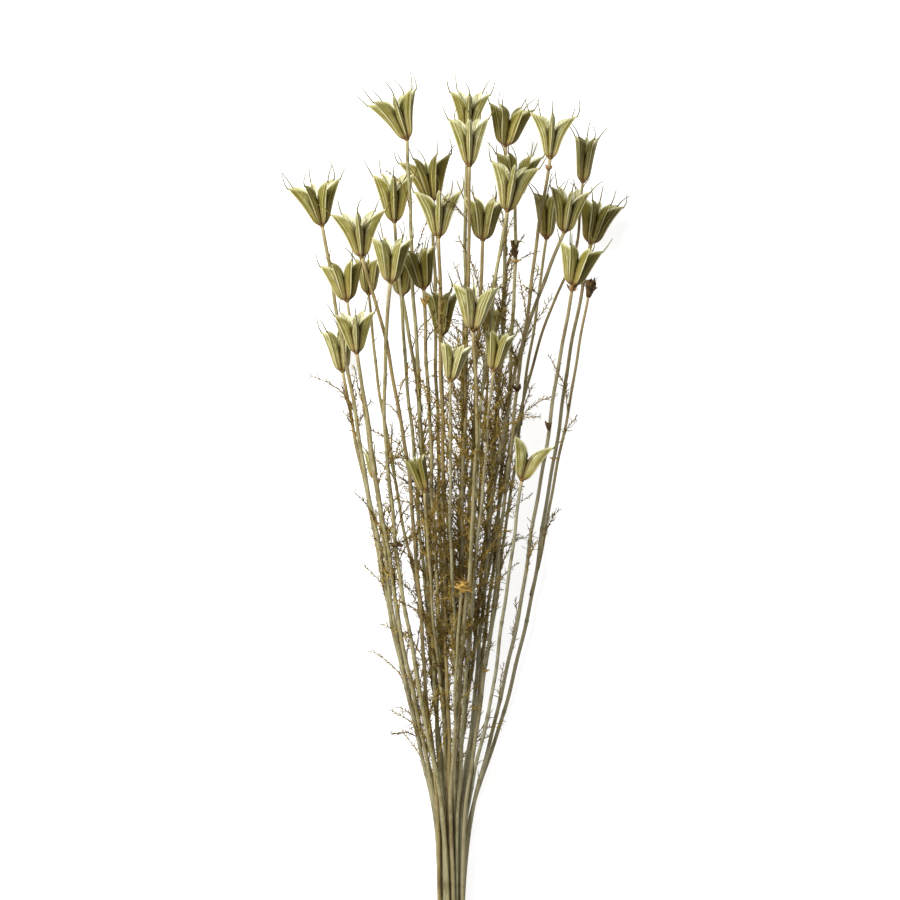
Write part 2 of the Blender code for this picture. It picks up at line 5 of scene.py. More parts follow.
import bmesh
import bpy
import numpy as np
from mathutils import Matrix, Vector


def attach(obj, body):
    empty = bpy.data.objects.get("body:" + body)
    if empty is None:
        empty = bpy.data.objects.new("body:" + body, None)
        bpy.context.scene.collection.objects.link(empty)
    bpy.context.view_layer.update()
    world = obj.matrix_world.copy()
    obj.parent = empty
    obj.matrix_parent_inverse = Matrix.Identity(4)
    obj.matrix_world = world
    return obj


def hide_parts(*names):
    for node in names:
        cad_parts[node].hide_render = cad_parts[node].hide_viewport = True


bl_info = {
    "name": "Dried Nigella Bunch",
    "version": (1, 0, 0),
    "blender": (4, 5, 0),
    "location": "3D View > Sidebar > Nigella",
    "description": "Dresses a tied bunch of dried nigella seed heads",
    "category": "Add Mesh",
}

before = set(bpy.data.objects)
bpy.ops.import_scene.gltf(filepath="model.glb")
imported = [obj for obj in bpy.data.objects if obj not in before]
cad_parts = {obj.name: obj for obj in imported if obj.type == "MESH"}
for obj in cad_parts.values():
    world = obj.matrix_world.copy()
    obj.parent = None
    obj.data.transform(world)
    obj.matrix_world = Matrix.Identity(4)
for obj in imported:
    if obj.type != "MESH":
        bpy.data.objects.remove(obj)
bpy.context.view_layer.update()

# The foot of the bunch and its tie, as in the solids
CUT_END_Y = -0.055
CUT_SPREAD = 0.006
FAN_START_Y = 0.020
FAN_LENGTH = 0.396
FAN_OPENING = 0.20
STEM_PITCH = 0.00345
STEM_ROW = STEM_PITCH * math.sqrt(3) / 2
TIE_INNER_RADIUS = 0.0100
TIE_THICKNESS = 0.0010
TIE_WIDTH = 0.010
TIE_SIDES = 24

# Stems
STEM_FOOT_RADIUS = 0.00145
STEM_HEAD_RADIUS = 0.00120
SIDE_STEM_FOOT_RADIUS = 0.00110
SIDE_STEM_HEAD_RADIUS = 0.00095
BOW_TO_PEAK = 27 / 4

# Seed heads
HEAD_FOOT_RADIUS = 0.0016
SHOULDER_RISE = 0.07
FLARE_POWER = 1.1
VALLEY_DEPTH = 0.60
SPLIT_AT = 0.55
CROTCH_AT = 0.49
LIP_AT = 0.85
FOLLICLE_WIDTH_SHARE = 0.85
FOLLICLE_HALF_THICKNESS = 0.0013
BEAK_SHARE = 0.30
BEAK_OUT = 0.45
BEAK_ALONG = 0.90
PITCH_SPREAD = 7.0
ROLL_SPREAD = 6.0

# Room kept between neighbours
CONTROL_STEP = 0.030
LEVEL_STEP = 0.005
HIGHEST_Y = 0.525
STEM_GAP = 0.0006
HEAD_GAP = 0.0008
FLOOR_GAP = 0.0016
FORK_CLEAR = 0.045
ROOM_FACTOR = 1.04
BEAK_TIP_ROOM = 0.1

# Settling: how strongly routes push, straighten and pull back, until the calm last steps
SETTLING_STEPS = 1500
CALM_FROM = 1200
PUSH = 1.1
STRAIGHTENING = 0.25
CALM_STRAIGHTENING = 0.03
PULL_BACK = 0.004
HEAD_SIDE_FREEDOM = 0.03
FOOT_HELD = 0.01
LEAST_SHARE = 0.7

# Added to lengths that others are divided by
TINY = 1e-9
TINIER = 1e-12

# Where each head's base is and how it stands: x, y and z in metres, its length and the
# radius that its tips reach, its lean to the right in degrees, its follicles, and how much
# of its reach it swells to just above its foot.
Head = namedtuple("Head", "x y z length reach lean follicles shoulder")
HEADS = {
    "pod_01": Head(-0.0264, 0.4754, 0.068, 0.0270, 0.0152, -19, 7, 0.20),
    "pod_02": Head(-0.0774, 0.4250, 0.046, 0.0260, 0.0160, -11, 7, 0.20),
    "pod_03": Head(-0.0534, 0.4052, 0.080, 0.0270, 0.0165, -5, 5, 0.22),
    "pod_04": Head(-0.0336, 0.4268, 0.054, 0.0285, 0.0125, -1, 5, 0.26),
    "pod_05": Head(-0.0114, 0.4400, 0.050, 0.0260, 0.0160, -10, 7, 0.26),
    "pod_06": Head(-0.0074, 0.4168, 0.090, 0.0270, 0.0148, -1, 5, 0.22),
    "pod_07": Head(-0.0356, 0.3897, 0.084, 0.0260, 0.0115, 2, 6, 0.30),
    "pod_08": Head(-0.0296, 0.3832, 0.042, 0.0255, 0.0112, 0, 5, 0.33),
    "pod_09": Head(-0.0160, 0.3863, 0.068, 0.0240, 0.0105, -10, 6, 0.30),
    "pod_10": Head(-0.0622, 0.3794, 0.060, 0.0230, 0.0124, -8, 6, 0.28),
    "pod_11": Head(-0.0558, 0.3480, 0.072, 0.0240, 0.0120, -4, 5, 0.20),
    "pod_12": Head(-0.0656, 0.3377, 0.014, 0.0250, 0.0100, -7, 5, 0.33),
    "pod_13": Head(-0.0496, 0.3844, 0.022, 0.0210, 0.0085, 0, 5, 0.30),
    "pod_14": Head(-0.0054, 0.3590, 0.045, 0.0260, 0.0104, 0, 6, 0.28),
    "pod_15": Head(0.0128, 0.3614, 0.098, 0.0260, 0.0136, 5, 5, 0.24),
    "pod_16": Head(-0.0001, 0.3312, 0.088, 0.0220, 0.0096, 8, 5, 0.20),
    "pod_17": Head(0.0252, 0.3374, 0.094, 0.0230, 0.0090, 10, 5, 0.24),
    "pod_18": Head(0.0234, 0.3572, 0.030, 0.0190, 0.0075, 5, 5, 0.28),
    "pod_19": Head(0.0096, 0.4778, 0.050, 0.0270, 0.0120, 4, 5, 0.22),
    "pod_20": Head(0.0106, 0.4590, 0.092, 0.0280, 0.0120, -1, 5, 0.18),
    "pod_21": Head(0.0328, 0.4735, 0.040, 0.0240, 0.0132, 9, 6, 0.32),
    "pod_22": Head(0.0594, 0.4643, 0.072, 0.0260, 0.0145, 5, 5, 0.20),
    "pod_23": Head(0.0792, 0.4514, 0.045, 0.0270, 0.0074, 5, 5, 0.36),
    "pod_24": Head(0.0336, 0.4322, 0.088, 0.0280, 0.0144, 9, 5, 0.25),
    "pod_25": Head(0.0384, 0.4412, 0.050, 0.0260, 0.0138, 5, 6, 0.28),
    "pod_26": Head(0.0190, 0.4157, 0.066, 0.0250, 0.0120, 3, 6, 0.35),
    "pod_27": Head(0.0576, 0.4176, 0.042, 0.0270, 0.0086, 1, 5, 0.35),
    "pod_28": Head(0.0676, 0.4207, 0.066, 0.0260, 0.0120, 8, 5, 0.33),
    "pod_29": Head(0.0844, 0.4149, 0.016, 0.0260, 0.0136, 13, 7, 0.32),
    "pod_30": Head(0.0724, 0.3882, 0.066, 0.0240, 0.0124, 13, 6, 0.30),
    "pod_31": Head(0.0424, 0.2722, 0.062, 0.0240, 0.0132, 17, 3, 0.26),
    "pod_32": Head(-0.0158, 0.2656, 0.084, 0.0210, 0.0065, -17, 5, 0.28),
    "pod_33": Head(-0.0464, 0.2741, 0.044, 0.0150, 0.0030, -10, 5, 0.30),
    "withered_bud": Head(0.0826, 0.3821, 0.036, 0.0120, 0.0032, 14, 5, 0.33),
    "withered_flower": Head(0.0060, 0.2048, 0.068, 0.0090, 0.0046, 12, 5, 0.33),
}
RESTING_HEADS = ("pod_12", "pod_29")

# Heads that turn the narrow back of a follicle straight up
KEEL_UP = ("pod_01", "pod_03", "pod_04", "pod_06", "pod_11", "pod_19", "pod_20", "pod_22",
           "pod_24", "pod_28")

# Each stem's own head, the head of its side stem, how far up that side stem forks off, how
# far the stem bows to the right of a straight run low down, and how far it does higher up.
Stem = namedtuple("Stem", "head side fork_y bow sway")
STEMS = (
    Stem("pod_01", None, 0, 0, 0),
    Stem("pod_02", "pod_10", 0.150, 0, 0),
    Stem("pod_03", None, 0, 0, 0.012),
    Stem("pod_04", "pod_13", 0.172, 0.002, 0),
    Stem("pod_05", None, 0, 0, 0),
    Stem("pod_06", None, 0, 0, 0),
    Stem("pod_07", None, 0, 0, -0.012),
    Stem("pod_08", None, 0, 0, 0.007),
    Stem("pod_09", "pod_32", 0.148, 0, 0),
    Stem("pod_11", None, 0, 0, 0),
    Stem("pod_12", "pod_33", 0.148, 0, 0),
    Stem("pod_15", "withered_flower", 0.120, -0.005, 0.006),
    Stem("pod_19", "pod_14", 0.160, 0, 0),
    Stem("pod_20", "pod_16", 0.130, 0, 0),
    Stem("pod_21", "pod_18", 0.110, 0, 0.006),
    Stem("pod_22", "pod_27", 0.160, 0, -0.003),
    Stem("pod_28", "pod_23", 0.200, 0, -0.018),
    Stem("pod_24", "pod_17", 0.160, 0, -0.007),
    Stem("pod_25", None, 0, 0, 0.006),
    Stem("pod_26", None, 0, 0, 0),
    Stem("pod_29", "withered_bud", 0.202, 0.009, 0),
    Stem("pod_30", None, 0, 0.003, 0),
    Stem("pod_31", None, 0, 0.004, 0),
)

# How sharply a head flares towards its tips, where it does so more than its solid
FLARES = {
    "pod_01": 1.50, "pod_02": 1.35, "pod_03": 1.65, "pod_05": 1.40, "pod_06": 1.35,
    "pod_08": 1.40, "pod_12": 1.50, "pod_14": 1.60, "pod_19": 1.50, "pod_22": 1.90,
    "pod_23": 1.80, "pod_24": 1.45, "pod_25": 1.60, "pod_26": 1.40, "pod_27": 1.50,
    "pod_28": 1.50, "pod_29": 1.70, "pod_31": 1.35,
}

# How light each head's skin is, from 0 for dull olive to 1 for bright straw
BRIGHTNESS = {
    "pod_01": 0.75, "pod_02": 0.55, "pod_03": 0.60, "pod_04": 0.50, "pod_05": 0.35,
    "pod_06": 0.65, "pod_07": 0.50, "pod_08": 0.25, "pod_09": 0.30, "pod_10": 0.50,
    "pod_11": 0.65, "pod_12": 0.75, "pod_13": 0.20, "pod_14": 0.35, "pod_15": 0.90,
    "pod_16": 0.95, "pod_17": 0.35, "pod_18": 0.20, "pod_19": 0.60, "pod_20": 0.95,
    "pod_21": 0.30, "pod_22": 0.60, "pod_23": 0.45, "pod_24": 0.75, "pod_25": 0.35,
    "pod_26": 0.50, "pod_27": 0.15, "pod_28": 0.45, "pod_29": 0.30, "pod_30": 0.50,
    "pod_31": 0.80, "pod_32": 0.10, "pod_33": 0.70,
}

# Where the dried leaves lie thick: middle x and y, half width, half height, and how thick
Tuft = namedtuple("Tuft", "x y half_width half_height density")
TUFTS = (
    Tuft(-0.0195, 0.265, 0.011, 0.042, 2.4),
    Tuft(0.0080, 0.290, 0.007, 0.045, 2.0),
    Tuft(0.0270, 0.300, 0.012, 0.040, 2.6),
    Tuft(0.0240, 0.355, 0.009, 0.030, 1.6),
    Tuft(0.0230, 0.232, 0.006, 0.030, 1.8),
    Tuft(0.0060, 0.205, 0.009, 0.035, 1.8),
    Tuft(-0.0330, 0.225, 0.010, 0.028, 2.2),
    Tuft(-0.0140, 0.205, 0.008, 0.030, 1.6),
    Tuft(-0.0130, 0.138, 0.006, 0.032, 3.0),
    Tuft(0.0360, 0.385, 0.006, 0.022, 1.6),
    Tuft(0.0080, 0.170, 0.009, 0.030, 1.8),
    Tuft(0.0320, 0.164, 0.009, 0.012, 1.2),
    Tuft(-0.0330, 0.292, 0.008, 0.012, 0.8),
    Tuft(-0.0600, 0.300, 0.006, 0.020, 0.8),
    Tuft(0.0700, 0.302, 0.006, 0.008, 0.8),
    Tuft(0.0400, 0.218, 0.008, 0.006, 0.9),
)
LEAST_GROWTH = 0.10
MOST_LEAVES = 5

# Small withered scraps that cling to the stems: where, how large, how many petals and which
Scrap = namedtuple("Scrap", "x y size petals kind")
SCRAPS = (
    Scrap(0.0360, 0.4095, 0.0070, 9, "dark"),
    Scrap(0.0360, 0.4055, 0.0060, 7, "dark"),
    Scrap(0.0355, 0.4020, 0.0042, 5, "orange"),
    Scrap(-0.0174, 0.3758, 0.0058, 8, "orange"),
    Scrap(0.0432, 0.4400, 0.0040, 5, "pink"),
    Scrap(0.0540, 0.4570, 0.0046, 5, "pink"),
    Scrap(0.0426, 0.3254, 0.0050, 7, "dark"),
    Scrap(0.0732, 0.3845, 0.0050, 5, "pink"),
    Scrap(0.0594, 0.3020, 0.0060, 7, "dark"),
    Scrap(0.0617, 0.2840, 0.0030, 5, "orange"),
    Scrap(-0.0474, 0.2735, 0.0036, 6, "orange"),
    Scrap(-0.0350, 0.2320, 0.0050, 6, "dark"),
    Scrap(0.0110, 0.3600, 0.0036, 6, "dark"),
    Scrap(0.0230, 0.1560, 0.0036, 5, "orange"),
    Scrap(-0.0090, 0.1600, 0.0034, 5, "dark"),
)


# Laying out the bunch, as in the solids

def head_turns(name):
    """The head's pitch and its roll, in radians; an odd follicle lies up or down."""
    draw = random.Random("turn of " + name)
    pitch = math.radians(draw.uniform(-PITCH_SPREAD, PITCH_SPREAD))
    roll = math.radians(draw.uniform(-ROLL_SPREAD, ROLL_SPREAD))
    if name in KEEL_UP:
        roll += math.pi / 2
    elif HEADS[name].follicles % 2:
        roll -= math.pi / 2
    return pitch, roll


def head_frame(name):
    """The head's own right, its axis, and its upper side."""
    lean = math.radians(HEADS[name].lean)
    pitch, _ = head_turns(name)
    right = Vector((math.cos(lean), -math.sin(lean), 0))
    axis = Vector((math.sin(lean) * math.cos(pitch), math.cos(lean) * math.cos(pitch),
                   math.sin(pitch)))
    return right, axis, right.cross(axis)


def outer_radius(head, share):
    """How far the backs of the follicles stand from the axis, a share of the way up."""
    foot = HEAD_FOOT_RADIUS
    shoulder = head.shoulder * head.reach
    swell = shoulder * (1 - math.exp(-share / SHOULDER_RISE))
    flare = (head.reach - foot - shoulder) * share ** FLARE_POWER
    return foot + swell + flare


Route = namedtuple("Route", "head start_y base_y controls_y foot_radius head_radius main")


def make_routes():
    """One route for each stem and each side stem, main stems first."""
    routes = []
    for stem in STEMS:
        base_y = HEADS[stem.head].y
        heights = list(np.arange(CUT_END_Y, base_y - CONTROL_STEP / 2, CONTROL_STEP)) + [base_y]
        routes.append(Route(stem.head, CUT_END_Y, base_y, np.array(heights),
                            STEM_FOOT_RADIUS, STEM_HEAD_RADIUS, None))
    for number, stem in enumerate(STEMS):
        if stem.side:
            base_y = HEADS[stem.side].y
            heights = list(np.arange(stem.fork_y, base_y - CONTROL_STEP / 2, CONTROL_STEP))
            routes.append(Route(stem.side, stem.fork_y, base_y, np.array(heights + [base_y]),
                                SIDE_STEM_FOOT_RADIUS, SIDE_STEM_HEAD_RADIUS, number))
    return routes


def tie_height():
    """The height of the bunch's middle where the tie holds it."""
    return (TIE_INNER_RADIUS + TIE_THICKNESS) * math.cos(math.pi / TIE_SIDES)


def foot_slots():
    """Packed places for the stems inside the tie, in rows, as offsets from its middle."""
    slots = []
    for row in range(-4, 5):
        for column in range(-4, 5):
            across = (column + 0.5 * (row % 2)) * STEM_PITCH
            slots.append((across, (row - 0.5) * STEM_ROW))
    slots.sort(key=lambda slot: (round(math.hypot(*slot), 7), slot))
    return slots[:len(STEMS)]


def assign_slots():
    """Give each stem the slot that keeps it on its own side of the bunch all the way."""
    slots = np.array(foot_slots())
    wanted = np.array([(HEADS[stem.head].x, HEADS[stem.head].z) for stem in STEMS])
    wanted = (wanted - wanted.mean(axis=0)) / wanted.std(axis=0) * slots.std(axis=0)
    order = list(range(len(STEMS)))
    better = True
    while better:
        better = False
        for a in range(len(order)):
            for b in range(a + 1, len(order)):
                now = np.sum((slots[order[a]] - wanted[a]) ** 2)
                now += np.sum((slots[order[b]] - wanted[b]) ** 2)
                swapped = np.sum((slots[order[b]] - wanted[a]) ** 2)
                swapped += np.sum((slots[order[a]] - wanted[b]) ** 2)
                if swapped < now - TINIER:
                    order[a], order[b] = order[b], order[a]
                    better = True
    return slots[order]


def opening(y):
    """How far the fan has opened at a height, from 0 at the foot."""
    share = np.maximum(np.asarray(y) - FAN_START_Y, 0) / FAN_LENGTH
    return share * (1 - np.exp(-(share / FAN_OPENING) ** 2))


def first_paths(routes, slots, head_z):
    """Each route's control points before they make room for each other."""
    paths = []
    for number, route in enumerate(routes):
        head = HEADS[route.head]
        goal = np.array((head.x, head_z[route.head]))
        if route.main is None:
            foot = slots[number] + np.array((0, tie_height()))
            share = (opening(route.controls_y) / opening(route.base_y))[:, None]
            path = foot + (goal - foot) * share
            up = np.maximum(route.controls_y - FAN_START_Y, 0) / (route.base_y - FAN_START_Y)
            path[:, 0] += STEMS[number].bow * BOW_TO_PEAK * up * (1 - up) ** 2
            path[:, 0] += STEMS[number].sway * BOW_TO_PEAK * up ** 2 * (1 - up)
            paths.append(path)
            continue
        main = routes[route.main]
        carried = np.column_stack([np.interp(route.controls_y, main.controls_y,
                                             paths[route.main][:, i]) for i in range(2)])
        share = (route.controls_y - route.start_y) / (route.base_y - route.start_y)
        away = np.sin(share * math.pi / 2)[:, None]
        paths.append(carried + (goal - carried[-1]) * away)
    return paths


def room_needed(route, levels):
    """The radius that a route takes up at each level, and 0 where it isn't."""
    head = HEADS[route.head]
    _, axis, _ = head_frame(route.head)
    radii = np.zeros(len(levels))
    for k, y in enumerate(levels):
        if route.start_y - 1e-9 <= y <= route.base_y:
            share = (y - route.start_y) / (route.base_y - route.start_y)
            radii[k] = route.foot_radius + share * (route.head_radius - route.foot_radius)
        elif y > route.base_y:
            share = (y - route.base_y) / (head.length * axis.y)
            past = share - 1
            if past <= 0:
                radii[k] = outer_radius(head, share) + HEAD_GAP
            elif past <= BEAK_SHARE * BEAK_ALONG + BEAK_TIP_ROOM:
                radii[k] = head.reach + BEAK_OUT * head.length * past + HEAD_GAP
    return radii


def level_weights(route, levels, most_controls):
    """How each level's point follows from the controls, and its fixed offset in a head."""
    weights = np.zeros((len(levels), most_controls))
    offsets = np.zeros((len(levels), 2))
    _, axis, _ = head_frame(route.head)
    heights = route.controls_y
    for k, y in enumerate(levels):
        if y >= route.base_y:
            weights[k, len(heights) - 1] = 1
            offsets[k] = np.array((axis.x, axis.z)) / axis.y * (y - route.base_y)
        elif y >= route.start_y - 1e-9:
            low = min(int((y - route.start_y + 1e-9) / CONTROL_STEP), len(heights) - 2)
            share = (y - heights[low]) / (heights[low + 1] - heights[low])
            weights[k, low] = 1 - share
            weights[k, low + 1] = share
    return weights, offsets


Bundle = namedtuple("Bundle", "radii weights offsets wanted freedom")


def bundle_of(routes, paths, levels):
    """Every route's room, control points and freedom to move, as arrays."""
    most = max(len(route.controls_y) for route in routes)
    count = len(routes)
    radii = np.array([room_needed(route, levels) for route in routes])
    weights = np.zeros((count, len(levels), most))
    offsets = np.zeros((count, len(levels), 2))
    wanted = np.zeros((count, most, 2))
    freedom = np.zeros((count, most, 2))
    for r, route in enumerate(routes):
        weights[r], offsets[r] = level_weights(route, levels, most)
        used = len(route.controls_y)
        wanted[r, :used] = paths[r]
        freedom[r, :used] = 1
        freedom[r, :used][route.controls_y < FAN_START_Y + FOOT_HELD] = 0
        freedom[r, used - 1] = (HEAD_SIDE_FREEDOM, 0.0 if route.head in RESTING_HEADS else 1.0)
        if route.main is not None:
            freedom[r, 0] = 0
    return Bundle(radii, weights, offsets, wanted, freedom)


def neighbours(routes, radii, levels):
    """Which routes keep apart at each level, and by how much; a fork may touch its own stem."""
    active = radii > 0
    touching = active[:, None, :] & active[None, :, :]
    touching &= ~np.eye(len(routes), dtype=bool)[:, :, None]
    for r, route in enumerate(routes):
        if route.main is not None:
            near = levels < route.start_y + FORK_CLEAR
            touching[r, route.main, near] = False
            touching[route.main, r, near] = False
    apart = (radii[:, None, :] + radii[None, :, :]) * ROOM_FACTOR + STEM_GAP
    return touching, apart


def least_heights(routes, levels):
    """How far above the floor each route stays at each level."""
    is_head = np.array([[y > route.base_y for y in levels] for route in routes])
    lowest = np.where(is_head, FLOOR_GAP, FLOOR_GAP / 2)
    resting = np.array([route.head in RESTING_HEADS for route in routes])
    return np.where(is_head & resting[:, None], -1.0, lowest)


def pushed(bundle, placed, touching, apart, lowest):
    """The control points after one push away from each other and from the floor."""
    at = np.einsum("rlc,rcd->rld", bundle.weights, placed) + bundle.offsets
    gap = at[:, None] - at[None, :]
    distance = np.sqrt((gap ** 2).sum(axis=3)) + TINY
    short = np.where(touching, np.maximum(apart - distance, 0), 0)
    push = (gap / distance[..., None] * short[..., None]).sum(axis=1) * 0.5
    hits = (short > 0).sum(axis=1).astype(float)
    sunk = np.where(bundle.radii > 0, np.maximum(bundle.radii + lowest - at[..., 1], 0), 0)
    push[..., 1] += sunk
    hits += sunk > 0
    total = np.einsum("rlc,rld->rcd", bundle.weights, push)
    share = np.einsum("rlc,rl->rc", bundle.weights, np.minimum(hits, 2))
    return placed + bundle.freedom * total / np.maximum(share, LEAST_SHARE)[..., None] * PUSH


def straightened(bundle, placed, middle, calm):
    """The control points, evened out along each route and drawn back to where they began."""
    moved = placed - bundle.wanted
    easing = CALM_STRAIGHTENING if calm else STRAIGHTENING
    smooth = moved.copy()
    smooth[:, 1:-1] = 0.5 * (moved[:, :-2] + moved[:, 2:])
    blended = moved + easing * np.where(middle[..., None], smooth - moved, 0)
    pull = 0.0 if calm else PULL_BACK
    return bundle.wanted + np.where(bundle.freedom > 0, blended * (1 - pull), moved)


def settle(routes, paths):
    """Push the routes apart, level by level, until each has its room."""
    levels = np.arange(CUT_END_Y, HIGHEST_Y, LEVEL_STEP)
    bundle = bundle_of(routes, paths, levels)
    touching, apart = neighbours(routes, bundle.radii, levels)
    lowest = least_heights(routes, levels)
    middle = np.zeros(bundle.wanted.shape[:2], dtype=bool)
    for r, route in enumerate(routes):
        middle[r, 1:len(route.controls_y) - 1] = True
    placed = bundle.wanted
    for step in range(SETTLING_STEPS):
        placed = pushed(bundle, placed, touching, apart, lowest)
        placed = straightened(bundle, placed, middle, step >= CALM_FROM)
        for r, route in enumerate(routes):
            if route.main is not None:
                main = routes[route.main]
                for d in range(2):
                    placed[r, 0, d] = np.interp(route.start_y, main.controls_y,
                                                placed[route.main, :len(main.controls_y), d])
    settled = []
    for r, route in enumerate(routes):
        used = len(route.controls_y)
        settled.append(np.column_stack([placed[r, :used, 0], route.controls_y,
                                        placed[r, :used, 1]]))
    return settled


def head_base(name):
    """The middle of a head's foot, read from its solid."""
    points = np.array([vertex.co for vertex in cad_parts[name].data.vertices])
    foot = points[points[:, 1] < points[:, 1].min() + 0.0015]
    return foot.mean(axis=0)


def lay_out():
    """The bunch's routes and their settled paths."""
    routes = make_routes()
    heights = {name: head.z for name, head in HEADS.items()}
    for name in RESTING_HEADS:
        heights[name] = float(head_base(name)[2])
    return routes, settle(routes, first_paths(routes, assign_slots(), heights))


ROUTES, PATHS = lay_out()


# Mesh helpers

STEEP = 0.8
BEND_SHARE = 0.6
SHAKE_SHARE = 0.7
LOWEST_THREAD = 0.0005


class Shape:
    """Points, faces and per-point values that are gathered into one mesh."""

    def __init__(self):
        self.points = []
        self.faces = []
        self.slots = []
        self.values = {}
        self.count = 0

    def add(self, points, faces, slot=0, **values):
        """Adds points and faces, with a value of each name for every point."""
        points = np.asarray(points, dtype=float)
        self.points.append(points)
        for face in faces:
            self.faces.append([index + self.count for index in face])
        self.slots.extend([slot] * len(faces))
        for key, value in values.items():
            stack = self.values.setdefault(key, [])
            stack.append(np.broadcast_to(np.asarray(value, dtype=float), (len(points),)))
        self.count += len(points)

    def build(self, name, materials):
        """The finished object."""
        mesh = bpy.data.meshes.new(name)
        mesh.from_pydata(np.concatenate(self.points).tolist(), [], self.faces)
        for key, stack in self.values.items():
            layer = mesh.attributes.new(key, "FLOAT", "POINT")
            layer.data.foreach_set("value", np.concatenate(stack))
        for material in materials:
            mesh.materials.append(material)
        mesh.polygons.foreach_set("material_index", self.slots)
        mesh.polygons.foreach_set("use_smooth", [True] * len(self.faces))
        mesh.update()
        obj = bpy.data.objects.new(name, mesh)
        bpy.context.scene.collection.objects.link(obj)
        return obj


def smooth_path(points, step):
    """A smooth curve through the points, read every step or so."""
    points = np.asarray(points, dtype=float)
    before = np.vstack([2 * points[0] - points[1], points[:-1]])
    after = np.vstack([points[1:], 2 * points[-1] - points[-2]])
    slopes = (after - before) / 2
    curve = []
    for a, b, slope_a, slope_b in zip(points, points[1:], slopes, slopes[1:]):
        count = max(1, int(round(np.linalg.norm(b - a) / step)))
        for i in range(count):
            t = i / count
            curve.append((2 * t ** 3 - 3 * t ** 2 + 1) * a + (t ** 3 - 2 * t ** 2 + t) * slope_a
                         + (3 * t ** 2 - 2 * t ** 3) * b + (t ** 3 - t ** 2) * slope_b)
    curve.append(points[-1])
    return np.array(curve)


def tube(path, radii, sides, ridges=0, ridge_depth=0.0, turn=0.0, twist=0.0):
    """Points and faces of a closed tube along a path, with ridges along it."""
    path = np.asarray(path, dtype=float)
    radii = np.broadcast_to(np.asarray(radii, dtype=float), (len(path),))
    along = np.gradient(path, axis=0)
    along /= np.linalg.norm(along, axis=1)[:, None]
    guide = np.array((0.0, 0.0, 1.0))
    if abs(along[0] @ guide) > STEEP:
        guide = np.array((1.0, 0.0, 0.0))
    side = np.cross(along, guide)
    side /= np.linalg.norm(side, axis=1)[:, None] + TINIER
    upper = np.cross(side, along)
    angles = turn + 2 * math.pi * np.arange(sides) / sides
    spread = radii[:, None] * (1 + ridge_depth * np.cos(ridges * angles))
    angles = angles[None, :] + twist * np.arange(len(path))[:, None]
    points = (path[:, None, :] + side[:, None, :] * (np.cos(angles) * spread)[..., None]
              + upper[:, None, :] * (np.sin(angles) * spread)[..., None]).reshape(-1, 3)
    faces = [list(range(sides))[::-1]]
    for i in range(len(path) - 1):
        for k in range(sides):
            a = i * sides + k
            b = i * sides + (k + 1) % sides
            faces.append([a, b, b + sides, a + sides])
    last = (len(path) - 1) * sides
    faces.append(list(range(last, last + sides)))
    return points, faces


def any_way(draw):
    """A random direction, of random length."""
    return np.array([draw.gauss(0, 1) for _ in range(3)])


def wander(start, direction, length, step, curl, draw):
    """A path that starts in a direction and curls as it goes, above the floor."""
    direction = np.array(direction, dtype=float)
    direction /= np.linalg.norm(direction)
    bend = any_way(draw)
    bend -= direction * (bend @ direction)
    path = [np.array(start, dtype=float)]
    count = max(2, int(round(length / step)))
    for _ in range(count):
        direction = direction + (bend * BEND_SHARE + any_way(draw) * SHAKE_SHARE) * curl
        direction /= np.linalg.norm(direction)
        following = path[-1] + direction * (length / count)
        following[2] = max(following[2], LOWEST_THREAD)
        path.append(following)
    return np.array(path)


# Materials

FIBRES = "Dry fibres"
VEIN_SHIFT = 40.0


def new_material(name, roughness, specular=0.5):
    """A material and its Principled BSDF."""
    material = bpy.data.materials.new(name)
    material.use_nodes = True
    shader = material.node_tree.nodes["Principled BSDF"]
    shader.inputs["Roughness"].default_value = roughness
    shader.inputs["Specular IOR Level"].default_value = specular
    return material, shader


def add_node(tree, kind, **values):
    """A shader node with values on its inputs; an underscore stands for a space."""
    node = tree.nodes.new("ShaderNode" + kind)
    for label, value in values.items():
        node.inputs[label.replace("_", " ")].default_value = value
    return node


def fibre_group():
    """Streaks along the plant's fibres, blotches, and a fine relief."""
    if FIBRES in bpy.data.node_groups:
        return bpy.data.node_groups[FIBRES]
    group = bpy.data.node_groups.new(FIBRES, "ShaderNodeTree")
    for label, value in (("Streak Fineness", 900.0), ("Streak Length", 0.03),
                         ("Blotch Fineness", 90.0)):
        socket = group.interface.new_socket(name=label, in_out="INPUT",
                                            socket_type="NodeSocketFloat")
        socket.default_value = value
    for label in ("Streaks", "Blotches", "Relief"):
        group.interface.new_socket(name=label, in_out="OUTPUT", socket_type="NodeSocketFloat")
    entry = group.nodes.new("NodeGroupInput")
    leave = group.nodes.new("NodeGroupOutput")
    place = add_node(group, "TexCoord")
    stretch = add_node(group, "CombineXYZ", X=1, Z=1)
    scaled = add_node(group, "VectorMath")
    scaled.operation = "MULTIPLY"
    streaks = add_node(group, "TexNoise", Detail=4, Roughness=0.6)
    blotches = add_node(group, "TexNoise", Detail=5, Roughness=0.65)
    relief = add_node(group, "Math")
    relief.operation = "ADD"
    for source, target in (
            (entry.outputs["Streak Length"], stretch.inputs["Y"]),
            (place.outputs["Object"], scaled.inputs[0]),
            (stretch.outputs["Vector"], scaled.inputs[1]),
            (scaled.outputs["Vector"], streaks.inputs["Vector"]),
            (entry.outputs["Streak Fineness"], streaks.inputs["Scale"]),
            (place.outputs["Object"], blotches.inputs["Vector"]),
            (entry.outputs["Blotch Fineness"], blotches.inputs["Scale"]),
            (streaks.outputs["Fac"], relief.inputs[0]),
            (blotches.outputs["Fac"], relief.inputs[1]),
            (streaks.outputs["Fac"], leave.inputs["Streaks"]),
            (blotches.outputs["Fac"], leave.inputs["Blotches"]),
            (relief.outputs[0], leave.inputs["Relief"])):
        group.links.new(source, target)
    return group


